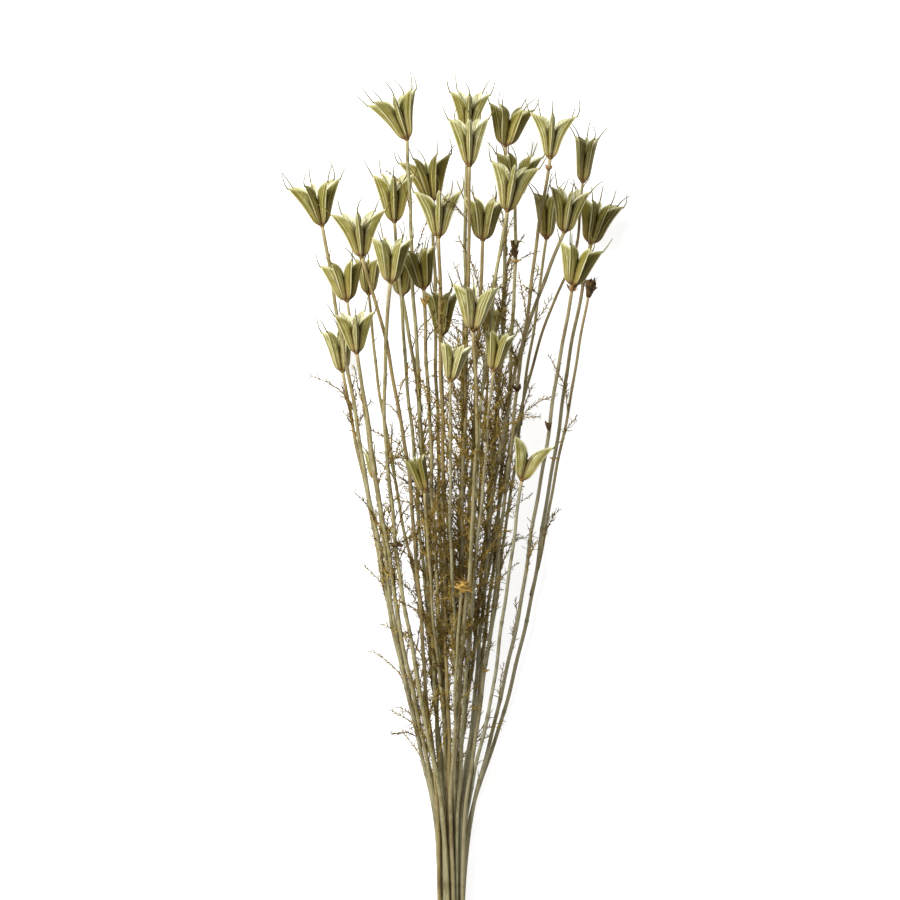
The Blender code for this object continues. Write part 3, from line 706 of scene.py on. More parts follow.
class Paint:
    """Builds up one material's colour from layers of nodes."""

    def __init__(self, name, roughness, specular, fineness, length, blotch):
        self.material, self.shader = new_material(name, roughness, specular)
        self.tree = self.material.node_tree
        self.join = self.tree.links.new
        fibres = self.tree.nodes.new("ShaderNodeGroup")
        fibres.node_tree = fibre_group()
        fibres.inputs["Streak Fineness"].default_value = fineness
        fibres.inputs["Streak Length"].default_value = length
        fibres.inputs["Blotch Fineness"].default_value = blotch
        self.streaks = fibres.outputs["Streaks"]
        self.blotches = fibres.outputs["Blotches"]
        self.relief = fibres.outputs["Relief"]
        self.colour = None

    def value(self, name):
        """A value that the mesh carries at each point."""
        node = add_node(self.tree, "Attribute")
        node.attribute_name = name
        return node.outputs["Fac"]

    def ramp(self, source, low, high, start=0.0, end=1.0):
        """The source value mapped from one range to another, and held at its ends."""
        node = add_node(self.tree, "MapRange", From_Min=low, From_Max=high, To_Min=start, To_Max=end)
        node.clamp = True
        self.join(source, node.inputs["Value"])
        return node.outputs["Result"]

    def times(self, first, second):
        """The product of a value and another value or a number."""
        node = add_node(self.tree, "Math")
        node.operation = "MULTIPLY"
        self.join(first, node.inputs[0])
        if isinstance(second, float):
            node.inputs[1].default_value = second
        else:
            self.join(second, node.inputs[1])
        return node.outputs[0]

    def veins(self, across, tone, fineness):
        """Random lines that follow a blade from its foot to its tip, from 0 to 1."""
        place = add_node(self.tree, "Math")
        place.operation = "MULTIPLY_ADD"
        self.join(across, place.inputs[0])
        place.inputs[1].default_value = fineness
        self.join(self.times(tone, VEIN_SHIFT), place.inputs[2])
        lines = add_node(self.tree, "TexNoise", Scale=1.0, Detail=2.0)
        lines.noise_dimensions = "1D"
        self.join(place.outputs[0], lines.inputs["W"])
        return lines.outputs["Fac"]

    def mixed(self, colour, mask):
        """A node that lays a colour over its first input, by a mask."""
        node = add_node(self.tree, "Mix")
        node.data_type = "RGBA"
        node.inputs["B"].default_value = (*colour, 1)
        self.join(mask, node.inputs["Factor"])
        return node

    def start(self, colour_a, colour_b, mask):
        """The first layer: two colours mixed by a mask."""
        node = self.mixed(colour_b, mask)
        node.inputs["A"].default_value = (*colour_a, 1)
        self.colour = node.outputs["Result"]

    def layer(self, colour, mask):
        """A colour laid over what is there, by a mask."""
        node = self.mixed(colour, mask)
        self.join(self.colour, node.inputs["A"])
        self.colour = node.outputs["Result"]

    def finish(self, strength, distance):
        """Connects the colour and the fibres' relief to the shader."""
        self.join(self.colour, self.shader.inputs["Base Color"])
        bump = add_node(self.tree, "Bump", Strength=strength, Distance=distance)
        self.join(self.relief, bump.inputs["Height"])
        self.join(bump.outputs["Normal"], self.shader.inputs["Normal"])
        return self.material


def stem_material(look):
    """Dry stem with fibre streaks and scars, from brown to grey, and a pale neck."""
    paint = Paint("Dry stem", 0.62, 0.22, 1500.0, 0.02, 60.0)
    paint.start(look.dark, look.light, paint.ramp(paint.streaks, 0.36, 0.64))
    paint.layer(look.brown, paint.times(paint.value("tone"), 0.75))
    paint.layer(look.cool, paint.times(paint.value("cool"), 0.7))
    paint.layer(look.stain, paint.ramp(paint.blotches, 0.50, 0.68, 0.0, 0.6))
    paint.layer(look.neck, paint.times(paint.value("neck"), 0.75))
    paint.layer(look.stain, paint.value("scar"))
    rough = paint.ramp(paint.blotches, 0.3, 0.7, 0.5, 0.75)
    paint.join(rough, paint.shader.inputs["Roughness"])
    return paint.finish(0.5, 0.0002)


def skin_material(look):
    """The outside of the follicles: pale keels and lips as painted highlights, darker grooves and
    valleys between follicles as painted shade, and fine veins.
    """
    paint = Paint("Pod skin", look.roughness, 0.32, 1100.0, 0.10, 130.0)
    across = paint.value("across")
    tone = paint.value("tone")
    blotches = paint.ramp(paint.blotches, 0.35, 0.65)
    paint.start(look.deep, look.body, paint.ramp(tone, 0.0, 0.6, 0.25, 1.0))
    paint.layer(look.body, paint.times(blotches, 0.35))
    paint.layer(look.pale, paint.times(paint.ramp(tone, 0.3, 1.0, 0.0, 0.75), blotches))
    veins = paint.veins(across, tone, 11.0)
    paint.layer(look.deep, paint.ramp(veins, 0.50, 0.61, 0.0, 0.75))
    paint.layer(look.pale, paint.ramp(veins, 0.45, 0.35, 0.0, 0.42))
    paint.layer(look.deep, paint.ramp(paint.streaks, 0.54, 0.68, 0.0, 0.45))
    # Painted shade in a band beside each keel, as in a groove
    groove_shade = paint.times(paint.ramp(across, 0.04, 0.09), paint.ramp(across, 0.10, 0.20, 1.0, 0.0))
    paint.layer(look.deep, paint.times(groove_shade, 0.75))
    # Painted highlights: a pale line along each keel and pale lips, stronger on brighter heads
    shine = paint.ramp(tone, 0.0, 0.5, 0.35, 1.0)
    paint.layer(look.pale, paint.times(paint.ramp(across, 0.02, 0.06, 0.85, 0.0), shine))
    # Painted shade in the valleys between the follicles
    paint.layer(look.shade, paint.ramp(paint.value("valley"), 0.25, 1.0, 0.0, 0.95))
    # Painted highlight along the lips and tips
    lip = paint.ramp(paint.value("lip"), 0.90, 1.0, 0.0, 0.8)
    paint.layer(look.pale, paint.times(lip, shine))
    height = paint.value("height")
    paint.layer(look.blush, paint.times(paint.ramp(height, 0.10, 0.55, 0.55, 0.0), blotches))
    paint.layer(look.foot_colour, paint.ramp(height, 0.02, 0.12, 0.9, 0.0))
    rough = paint.ramp(paint.streaks, 0.3, 0.7, look.roughness - 0.08, look.roughness + 0.15)
    paint.join(rough, paint.shader.inputs["Roughness"])
    return paint.finish(0.55, 0.00035)


def lining_material(look):
    """The pale, shiny inside of the follicles, with painted shade low down inside and a painted
    highlight at the lips.
    """
    paint = Paint("Pod lining", look.roughness - 0.06, 0.5, 900.0, 0.08, 110.0)
    tone = paint.value("tone")
    paint.start(look.body, look.lining, paint.ramp(paint.streaks, 0.30, 0.55))
    veins = paint.veins(paint.value("across"), tone, 10.0)
    paint.layer(look.body, paint.ramp(veins, 0.52, 0.66, 0.0, 0.5))
    paint.layer(look.body, paint.ramp(tone, 0.0, 0.5, 0.85, 0.0))
    # Painted shade: darker low down inside the follicle
    paint.layer(look.deep, paint.ramp(paint.value("height"), 0.35, 0.75, 0.8, 0.0))
    # Painted highlight along the lips of the lining
    paint.layer(look.pale, paint.ramp(paint.value("lip"), 0.88, 1.0, 0.0, 0.7))
    return paint.finish(0.4, 0.0003)


def plain_dry_material(name, dark, light, roughness):
    """A dry, mottled material between two colours."""
    paint = Paint(name, roughness, 0.3, 900.0, 0.2, 160.0)
    paint.start(dark, light, paint.ramp(paint.blotches, 0.36, 0.64))
    paint.layer(dark, paint.ramp(paint.value("tone"), 0.0, 1.0, 0.7, 0.0))
    paint.layer(dark, paint.ramp(paint.streaks, 0.55, 0.7, 0.0, 0.5))
    return paint.finish(0.5, 0.0002)


# Settings that a user would change

def colour(name, description, default):
    """A colour setting."""
    return bpy.props.FloatVectorProperty(name=name, description=description, default=default,
                                         subtype="COLOR", min=0.0, max=1.0)


def length(name, description, default):
    """A length setting in metres."""
    return bpy.props.FloatProperty(name=name, description=description, default=default,
                                   unit="LENGTH", precision=5)


def number(name, description, default):
    """A plain number setting."""
    return bpy.props.FloatProperty(name=name, description=description, default=default)


class NigellaStems(bpy.types.PropertyGroup):
    """How the stems look."""
    light: colour("Light", "Light streaks of the stems", (0.48, 0.445, 0.25))
    dark: colour("Dark", "Dark streaks of the stems", (0.215, 0.18, 0.058))
    cool: colour("Cool", "The greyer stems", (0.34, 0.335, 0.245))
    brown: colour("Brown", "The browner stems", (0.26, 0.175, 0.060))
    stain: colour("Stain", "Stains and scars", (0.10, 0.065, 0.020))
    neck: colour("Neck", "The top of a stem, below its head", (0.50, 0.40, 0.20))
    ridge_depth: number("Ridge Depth", "Ridges, as a share of the radius", 0.06)
    knuckle: number("Knuckle", "Swelling at the nodes, as a share of the radius", 0.22)
    slimness: number("Slimness", "Stems, as a share of the solid's radius", 0.84)
    waviness: length("Waviness", "How far a stem strays from its course", 0.00040)


class NigellaHeads(bpy.types.PropertyGroup):
    """How the seed heads look."""
    deep: colour("Deep", "Grooves and shaded skin", (0.125, 0.090, 0.008))
    body: colour("Body", "The skin's main colour", (0.252, 0.227, 0.027))
    # Also laid along the keels and lips as painted highlight
    pale: colour("Pale", "Ribs and lips", (0.70, 0.67, 0.36))
    lining: colour("Lining", "The inside of the follicles", (0.90, 0.88, 0.68))
    # Painted shade, laid in the valleys between the follicles
    shade: colour("Shade", "The valleys between the follicles", (0.060, 0.038, 0.004))
    blush: colour("Blush", "Warmer blotches low on the skin", (0.40, 0.27, 0.085))
    foot_colour: colour("Foot", "The ring where a head meets its stem", (0.17, 0.070, 0.025))
    roughness: number("Roughness", "Roughness of the skin", 0.42)
    wall: length("Wall", "Thickness of a follicle's wall", 0.00032)
    beak_length: number("Beak Length", "Beaks, as a share of the solid's beaks", 1.28)
    beak_radius: length("Beak Radius", "Radius of a beak at its foot", 0.00045)


class NigellaLeaves(bpy.types.PropertyGroup):
    """How the dried leaves look."""
    dark: colour("Dark", "Dark threads", (0.135, 0.088, 0.014))
    light: colour("Light", "Light threads", (0.56, 0.385, 0.080))
    thickness: length("Thickness", "Radius of a leaf's rib", 0.00040)
    spacing: length("Spacing", "Distance between leaf nodes", 0.012)
    amount: number("Amount", "Leaves at a node where they lie thick", 1.15)
    spread: number("Spread", "Share of the leaves that stand out from their stem", 0.16)
    curl: number("Curl", "How much the threads curl", 0.50)


class NigellaWithered(bpy.types.PropertyGroup):
    """How the withered pieces look."""
    black: colour("Black", "Darkest withered skin", (0.040, 0.023, 0.007))
    brown: colour("Brown", "Brown withered skin", (0.27, 0.150, 0.042))
    rust: colour("Rust", "Dark parts of the orange pieces", (0.36, 0.20, 0.03))
    orange: colour("Orange", "Light parts of the orange pieces", (0.80, 0.55, 0.17))
    pink: colour("Pink", "Light parts of the pinkish petals", (0.50, 0.36, 0.22))


class NigellaTie(bpy.types.PropertyGroup):
    """How the tie looks."""
    dark: colour("Dark", "Dark fibres of the twine", (0.22, 0.14, 0.06))
    light: colour("Light", "Light fibres of the twine", (0.52, 0.39, 0.22))
    twine_radius: length("Twine Radius", "Radius of the twine", 0.00050)


class NigellaStage(bpy.types.PropertyGroup):
    """The floor, the lights and the camera."""
    floor: colour("Floor", "Colour of the floor", (0.60, 0.60, 0.61))
    view_width: length("View Width", "Width of the camera's view at the bunch", 0.540)
    camera_height: length("Camera Height", "Height of the camera above the bunch", 5.0)
    glow: number("Glow", "Light that the floor gives off, as a backlit sweep does", 0.80)
    key: number("Key", "Power of the main light in watts", 62.0)
    fill: number("Fill", "Power of the fill light in watts", 2.5)
    sky: number("Sky", "Strength of the even light", 0.22)


# Stems

STEM_SIDES = 12
STEM_RIDGES = 6
STEM_STEP = 0.004
COOL_RISE = 6.0
UPPER_FROM = 0.25
UPPER_RUN = 0.12
NODES_FROM = 0.085
BARE_FORK = 0.012
BARE_NECK = 0.022
NODE_SPREAD = (0.75, 1.35)
KNUCKLE_ROW = 0.0012
KNUCKLE_REACH = 0.0013
FORK_REACH = 0.003
NECK_REACH = 0.006
STILL_FOOT = 0.05
STILL_NECK = 0.03
WAVES = ((70, 1.0), (160, 0.5))


def node_heights(r):
    """Where along a route its leaf nodes are."""
    draw = random.Random("nodes of route %d" % r)
    route = ROUTES[r]
    spacing = bpy.context.scene.nigella_leaves.spacing
    heights = []
    y = max(route.start_y + BARE_FORK, NODES_FROM) + draw.uniform(0, spacing)
    while y < route.base_y - BARE_NECK:
        heights.append(y)
        y += spacing * draw.uniform(*NODE_SPREAD)
    return heights


def path_at(r, y):
    """The point of a route's path at a height."""
    path = PATHS[r]
    return np.array([np.interp(y, path[:, 1], path[:, 0]), y, np.interp(y, path[:, 1], path[:, 2])])


def stem_rows(r, nodes):
    """The points of a stem's course, with three close ones at each leaf node."""
    path = smooth_path(PATHS[r], STEM_STEP)
    if ROUTES[r].main is None:
        cut = random.Random("cut of stem_%02d" % (r + 1)).uniform(0, CUT_SPREAD)
        path[0] = path[0] + np.array((0, cut, 0))
    heights = np.array([y + offset for y in nodes for offset in (-KNUCKLE_ROW, 0.0, KNUCKLE_ROW)])
    close = np.column_stack([np.interp(heights, path[:, 1], path[:, 0]), heights,
                             np.interp(heights, path[:, 1], path[:, 2])])
    path = np.vstack([path, close])
    return path[np.argsort(path[:, 1])]


def knuckles(route, heights, nodes, draw):
    """How swollen a stem is at each height: at every fourth node, and where it forks off."""
    near = np.zeros(len(heights))
    for y in nodes[::4]:
        strength = draw.uniform(0.3, 1.0)
        near = np.maximum(near, strength * np.exp(-((heights - y) / KNUCKLE_REACH) ** 2))
    if route.main is not None:
        near = np.maximum(near, np.exp(-((heights - route.start_y) / FORK_REACH) ** 2))
    return near


def sway(route, path, waviness, draw):
    """Moves a stem off its course in waves, but not at its foot or below its head."""
    free = np.clip((path[:, 1] - STILL_FOOT) / STILL_FOOT, 0, 1)
    free *= np.clip((route.base_y - path[:, 1]) / STILL_NECK, 0, 1)
    for axis in (0, 2):
        for waves, share in WAVES:
            phase = draw.uniform(0, 2 * math.pi)
            path[:, axis] += waviness * share * free * np.sin(path[:, 1] * waves + phase)


def add_stem(shape, r, settings):
    """One stem or side stem, ridged, with knuckles."""
    route = ROUTES[r]
    draw = random.Random("stem of route %d" % r)
    nodes = node_heights(r)
    path = stem_rows(r, nodes)
    share = np.clip((path[:, 1] - route.start_y) / (route.base_y - route.start_y), 0, 1)
    radii = route.foot_radius + share * (route.head_radius - route.foot_radius)
    near = knuckles(route, path[:, 1], nodes, draw)
    radii = radii * settings.slimness * (1 + settings.knuckle * near)
    sway(route, path, settings.waviness, draw)
    points, faces = tube(path, radii, STEM_SIDES, STEM_RIDGES, settings.ridge_depth,
                         turn=draw.uniform(0, 1))
    upper = np.clip((path[:, 1] - UPPER_FROM) / UPPER_RUN, 0, 1)
    tone = np.clip(draw.gauss(0.32, 0.3) + 0.35 * upper, 0, 1)
    cool = np.clip(draw.gauss(0.3, 0.25) + COOL_RISE * path[:, 0] - 0.6 * upper, 0, 1)
    neck = np.exp(-((route.base_y - path[:, 1]) / NECK_REACH) ** 2)
    values = {"tone": tone, "cool": cool, "scar": near * 0.45, "neck": neck}
    shape.add(points, faces, **{key: np.repeat(value, STEM_SIDES) for key, value in values.items()})


# Thread leaves

LEAFINESS = (0.10, 0.5, 1.2, 2.2)


def lowest_and_highest(y):
    """The lowest and highest stem at a height up the bunch."""
    heights = [path_at(r, y)[2] for r, route in enumerate(ROUTES)
               if route.start_y <= y <= route.base_y]
    return min(heights), max(heights)


def thickness_of_growth(place):
    """How many leaves a node carries, more on the stems that lie uppermost."""
    total = LEAST_GROWTH
    for tuft in TUFTS:
        total += tuft.density * math.exp(-((place[0] - tuft.x) / tuft.half_width) ** 2
                                         - ((place[1] - tuft.y) / tuft.half_height) ** 2)
    low, high = lowest_and_highest(place[1])
    return total * (0.75 + 0.25 * (place[2] - low) / (high - low + 0.001))


def add_thread(shape, path, radius, tone):
    """One thread that thins to its tip."""
    radii = radius * np.linspace(1.0, 0.55, len(path))
    points, faces = tube(path, radii, 3)
    shape.add(points, faces, tone=tone)


def turned_from(direction, draw, degrees):
    """A direction at an angle to another, on a random side."""
    angle = math.radians(degrees)
    direction = np.array(direction) / np.linalg.norm(direction)
    side = np.cross(direction, any_way(draw))
    side /= np.linalg.norm(side) + TINY
    return direction * math.cos(angle) + side * math.sin(angle)


# How a leaf grows: its angle to the stem, how much it curls, the length of its rib, the side
# threads at a joint, their angle and length, and the angle of the finer threads on them
Habit = namedtuple("Habit", "angle curl rib threads turn reach fork")
HUGGING = Habit((2, 11), 0.55, 0.030, (2, 2, 3), (8, 34), 0.0038, (15, 45))
LOOSE = Habit((18, 50), 1.0, 0.024, (1, 2, 2), (25, 70), 0.0058, (30, 70))
RIB_STEP = 0.0026
SIDE_STEP = 0.0016
FINE_STEP = 0.0012
FINE_LENGTH = (0.0012, 0.0026)
FINE_THREADS = 0.5
SIDE_THICKNESS = 0.78
FINE_THICKNESS = 0.62


def add_side_thread(shape, place, way, reach, habit, tone, settings, draw):
    """A side thread of a leaf, with finer threads on it."""
    curl = settings.curl * habit.curl
    side = wander(place, way, reach, SIDE_STEP, curl, draw)
    shade = min(1.0, max(0.0, tone + draw.uniform(-0.35, 0.35)))
    add_thread(shape, side, settings.thickness * SIDE_THICKNESS, shade)
    for k in range(1, len(side)):
        if draw.random() < FINE_THREADS:
            way = turned_from(side[k] - side[k - 1], draw, draw.uniform(*habit.fork))
            fine = wander(side[k], way, draw.uniform(*FINE_LENGTH), FINE_STEP, curl, draw)
            add_thread(shape, fine, settings.thickness * FINE_THICKNESS, shade)


def add_leaf(shape, root, size, settings, draw):
    """A dried leaf: a rib that mostly hugs its stem, with side threads at its joints."""
    tone = draw.random()
    around = draw.uniform(0, 2 * math.pi)
    habit = LOOSE if draw.random() < settings.spread else HUGGING
    angle = math.radians(draw.uniform(*habit.angle))
    out = np.array((math.cos(around), 0, math.sin(around)))
    heading = out * math.sin(angle) + np.array((0, math.cos(angle), 0))
    rib = wander(root + out * 0.001, heading, habit.rib * size * draw.uniform(0.7, 1.3), RIB_STEP,
                 settings.curl * habit.curl * 0.35, draw)
    add_thread(shape, rib, settings.thickness, tone)
    for i in range(1, len(rib)):
        for _ in range(draw.choice(habit.threads)):
            way = turned_from(rib[i] - rib[i - 1], draw, draw.uniform(*habit.turn))
            reach = habit.reach * (size * draw.uniform(0.5, 1.4) * (1 - 0.3 * i / len(rib)))
            add_side_thread(shape, rib[i], way, reach, habit, tone, settings, draw)


def add_leaves(shape, r, settings):
    """The leaves of one route."""
    draw = random.Random("leaves of route %d" % r)
    leafiness = draw.choice(LEAFINESS)
    for y in node_heights(r):
        root = path_at(r, y)
        carried = thickness_of_growth(root) * settings.amount * leafiness
        count = int(carried) + (draw.random() < carried % 1)
        for _ in range(min(count, MOST_LEAVES)):
            add_leaf(shape, root, draw.uniform(0.75, 1.1), settings, draw)
        if draw.random() < 0.3:
            stub = wander(root, (draw.gauss(0, 1), 1.4, draw.gauss(0, 1)), 0.006, 0.002, 0.3, draw)
            add_thread(shape, stub, settings.thickness, draw.random())


# Seed heads

ACROSS = (0.0, 0.03, 0.07, 0.13, 0.21, 0.31, 0.43, 0.57, 0.71, 0.86, 1.0)
GAPE = 0.0014
SLENDER_REACH = 0.006
DROP = (0.36, 0.47)
DEEP_DROP = (0.50, 0.63)
LINING_SHOWN = 0.75
RIM_ROUNDNESS = 2.7
DEEP_RIM_ROUNDNESS = 1.5
SPREAD = (1.00, 1.08)
TIP_CURL = 0.0013
KEEL_ON_BREADTH = 0.50
STUNTED = 0.45
KEEL_HEIGHT = 0.00028
KEEL_WIDTH = 0.035
LEAST_THROAT = 0.0004
BELLY_AT = 0.4
BELLY_ROOM = 0.8
ROWS = (0.0, 0.03, 0.07, 0.13, 0.21, 0.30, 0.39, 0.48, 0.57, 0.66, 0.74, 0.81, 0.87, 0.92,
        0.96, 0.985, 1.0)


def ease(low, high, value):
    """A smooth step from 0 to 1 between two values."""
    share = min(1.0, max(0.0, (value - low) / (high - low)))
    return share * share * (3 - 2 * share)


def flared_radius(head, share, power):
    """How far the backs of the follicles stand from the axis in a head that flares more."""
    shoulder = HEAD_FOOT_RADIUS + head.shoulder * head.reach
    return outer_radius(head, share) - (head.reach - shoulder) * (share ** FLARE_POWER
                                                                  - share ** power)


# How a follicle differs from its neighbours: how sharply and how far it flares, how wide it
# gapes, how broad it is, how far each side's rim falls from tip to throat, and how it curls
Follicle = namedtuple("Follicle", "power spread gape breadth drops curl")


def wall_radii(head, follicle, share):
    """How far a wall's keel and its rim stand from the head's axis, a share of the way up."""
    back = flared_radius(head, share, follicle.power)
    back += (follicle.spread - 1) * head.reach * share ** 2
    width = FOLLICLE_WIDTH_SHARE * outer_radius(head, SPLIT_AT)
    throat = max(outer_radius(head, LIP_AT) - width, LEAST_THROAT)
    return back, throat * max(0.0, (share - CROTCH_AT) / (LIP_AT - CROTCH_AT)) ** 1.15


def grown_width(half, widest, f):
    """How far a wall is from the follicle's middle where the follicles are grown together."""
    if f < widest:
        return half * math.sin(math.pi / 2 * f / widest) ** 0.85
    return half * (1 - f) / (1 - widest)


def free_width(half, gap, f):
    """How far a wall is from the follicle's middle where the follicle is free."""
    if f < BELLY_AT:
        return half * math.sin(math.pi / 2 * f / BELLY_AT) ** 0.8
    return half + (gap - half) * ((f - BELLY_AT) / (1 - BELLY_AT)) ** 2


def wall_place(head, follicle, v, f, sign):
    """A place on one side of a wall, from its keel at f = 0 to its rim at 1.

    It is a share of the head's length, a radius and a way sideways, then f, and how deep in
    the valley between two follicles it lies, which the skin darkens as painted shade.
    """
    half_step = math.pi / head.follicles
    valley = VALLEY_DEPTH * math.cos(half_step)
    widest = 1 - valley * math.cos(half_step)
    drop = follicle.drops[0] if sign > 0 else follicle.drops[1]
    roundness = DEEP_RIM_ROUNDNESS if drop >= DEEP_DROP[0] else RIM_ROUNDNESS
    share = v * (1 - drop * (1 - math.sqrt(1 - 0.96 * f ** roundness)) - 0.05 * f)
    outer, inner = wall_radii(head, follicle, share)
    radius = outer - (outer - inner) * f
    radius += KEEL_HEIGHT * math.exp(-(f / KEEL_WIDTH) ** 2) * ease(0.02, 0.15, share)
    thickest = FOLLICLE_HALF_THICKNESS * 1.2 * follicle.breadth
    belly = min(thickest, BELLY_ROOM * outer * math.tan(half_step) * 0.6)
    belly *= 1 - 0.62 * ease(0.86, 1.0, share)
    grown = grown_width(valley * outer * math.sin(half_step), widest, f)
    free = free_width(belly, follicle.gape * ease(SPLIT_AT, LIP_AT, share), f)
    open_share = ease(SPLIT_AT - 0.05, SPLIT_AT + 0.25, share)
    sideways = grown + (free - grown) * open_share
    sideways += follicle.curl * min(1.0, f * 2) * ease(0.86, 1.0, v)
    # How deep in the valley a place lies, which sets the painted shade there
    sunk = ease(0.35 * widest, widest, f) * (1 - open_share)
    return share, radius, sign * sideways, f, sunk


def follicle_grid(head, follicle):
    """The places on a follicle's wall, row by row from its foot to its tip."""
    columns = range(-len(ACROSS) + 1, len(ACROSS))
    return np.array([[wall_place(head, follicle, v, ACROSS[abs(column)], 1 if column >= 0 else -1)
                      for column in columns] for v in ROWS])


def add_shell(shape, grid, wall, slots, **values):
    """A wall with thickness from a grid of points: outside, inside and rim."""
    rows, columns, _ = grid.shape
    down = np.gradient(grid, axis=0)
    over = np.gradient(grid, axis=1)
    normal = np.cross(down, over)
    normal /= np.linalg.norm(normal, axis=2)[..., None] + TINIER
    centre = grid.mean(axis=1, keepdims=True)
    facing = ((grid - centre) * normal).sum(axis=2)
    if facing[rows // 2, columns // 2] < 0:
        normal = -normal
    inside = grid - normal * wall
    size = rows * columns

    def at(i, j):
        return i * columns + j

    skin = []
    lining = []
    for i in range(rows - 1):
        for j in range(columns - 1):
            quad = [at(i, j), at(i, j + 1), at(i + 1, j + 1), at(i + 1, j)]
            skin.append(quad)
            lining.append([index + size for index in reversed(quad)])
    edge = [at(0, j) for j in range(columns)] + [at(i, columns - 1) for i in range(1, rows)]
    edge += [at(rows - 1, j) for j in range(columns - 2, -1, -1)]
    edge += [at(i, 0) for i in range(rows - 2, 0, -1)]
    rim = []
    for a, b in zip(edge, edge[1:] + edge[:1]):
        rim.append([b, a, a + size, b + size])
    both = {key: np.concatenate([np.ravel(value)] * 2) for key, value in values.items()}
    points = np.concatenate([grid.reshape(-1, 3), inside.reshape(-1, 3)])
    start = shape.count
    shape.add(points, skin, slots[0], **both)
    for face in lining + rim:
        shape.faces.append([index + start for index in face])
    shape.slots.extend([slots[1]] * (len(lining) + len(rim)))


BEAK_JOINTS = 9
BEAK_ROOT = 0.0012
BEAK_SIDES = 5
LOWEST_BEAK = 0.0004
BEAK_SIZES = (0.75, 1.15)
TONE_SPREAD = 0.2
SIDE_TURN = 0.04
FACES_RIGHT = 0.3
RING_HEIGHTS = (-0.0009, -0.0004, 0.0002, 0.0008)
RING_RADII = (0.0011, 0.00165, 0.0017, 0.0012)
RING_SIDES = 12


def add_beak(shape, tip, direction, sideways, size, radius, tone, draw):
    """A follicle's long hair-thin beak, curling as it dries."""
    direction = direction / np.linalg.norm(direction)
    curve = draw.uniform(-0.16, 0.26)
    drift = draw.uniform(-0.22, 0.22)
    path = [tip - direction * BEAK_ROOT]
    heading = direction.copy()
    for _ in range(BEAK_JOINTS):
        path.append(path[-1] + heading * (size + BEAK_ROOT) / BEAK_JOINTS)
        heading = heading + (sideways * drift + np.cross(sideways, direction) * curve) * 0.5
        heading /= np.linalg.norm(heading)
        path[-1][2] = max(path[-1][2], LOWEST_BEAK)
    radii = radius * np.linspace(1.0, 0.45, len(path))
    points, faces = tube(np.array(path), radii, BEAK_SIDES)
    shape.add(points, faces, 2, across=0.0, height=1.0, valley=0.0, lip=0.5, tone=tone)


def grow_follicle(name, angle, draw):
    """How a head's follicle differs from its neighbours; angle 0 is to the head's right."""
    head = HEADS[name]
    spread = draw.uniform(*SPREAD)
    drops = [draw.uniform(*DROP) for _ in range(2)]
    if math.cos(angle) > FACES_RIGHT and draw.random() < LINING_SHOWN:
        drops[0] = draw.uniform(*DEEP_DROP)
    breadth = KEEL_ON_BREADTH + (1 - KEEL_ON_BREADTH) * abs(math.cos(angle))
    gape = (GAPE if head.reach > SLENDER_REACH else GAPE / 4) * draw.uniform(0.5, 1.3)
    curl = draw.uniform(0.5, 1.3) * TIP_CURL * breadth
    return Follicle(FLARES.get(name, FLARE_POWER), spread, gape, breadth, drops, curl)


def add_head(shape, name, settings):
    """All the follicles and beaks of a head, and the ring that it stands on."""
    head = HEADS[name]
    draw = random.Random("look of " + name)
    right, axis, upper = (np.array(v) for v in head_frame(name))
    _, roll = head_turns(name)
    base = head_base(name)
    for i in range(head.follicles):
        angle = roll + 2 * math.pi * i / head.follicles + draw.uniform(-SIDE_TURN, SIDE_TURN)
        out = right * math.cos(angle) + upper * math.sin(angle)
        across = upper * math.cos(angle) - right * math.sin(angle)
        places = follicle_grid(head, grow_follicle(name, angle, draw))
        if head.follicles == 3 and abs(math.cos(angle)) < 0.5:
            places[..., :2] *= STUNTED
        grid = (base + axis * (places[..., 0:1] * head.length) + out * places[..., 1:2]
                + across * places[..., 2:3])
        tone = min(1.0, max(0.0, BRIGHTNESS[name] + draw.uniform(-TONE_SPREAD, TONE_SPREAD)))
        # The lip value, the share up the wall, sets the painted highlight at the lips
        lip = np.repeat(np.array(ROWS)[:, None], grid.shape[1], axis=1)
        # The valley value sets the painted shade between the follicles
        add_shell(shape, grid, settings.wall, (0, 1), across=places[..., 3], height=places[..., 0],
                  valley=places[..., 4], lip=lip, tone=np.full(grid.shape[:2], tone))
        tip = grid[-1, len(ACROSS) - 1]
        direction = axis * BEAK_ALONG + out * BEAK_OUT
        size = BEAK_SHARE * head.length * settings.beak_length * draw.uniform(*BEAK_SIZES)
        if np.linalg.norm(tip - base) > head.length * 0.7:
            add_beak(shape, tip, direction, across, size, settings.beak_radius, BRIGHTNESS[name],
                     draw)
    ring = np.array([base + axis * height for height in RING_HEIGHTS])
    points, faces = tube(ring, RING_RADII, RING_SIDES)
    shape.add(points, faces, 3, across=0.5, height=0.0, valley=0.0, lip=0.5, tone=0.5)


# Withered pieces

NEARNESS = 20.0
LARGE_SCRAP = 0.0055
NARROWING = 0.62


def carrier(x, y):
    """The place on the uppermost stem near a point."""
    best = None
    for r, route in enumerate(ROUTES):
        if route.start_y <= y <= route.base_y:
            place = path_at(r, y)
            score = place[2] - NEARNESS * abs(place[0] - x)
            if best is None or score > best[0]:
                best = (score, place)
    return best[1] + np.array((0, 0, STEM_HEAD_RADIUS))


PETAL_ROWS = 6
PETAL_COLUMNS = 5
LOWEST_PETAL = 0.0006


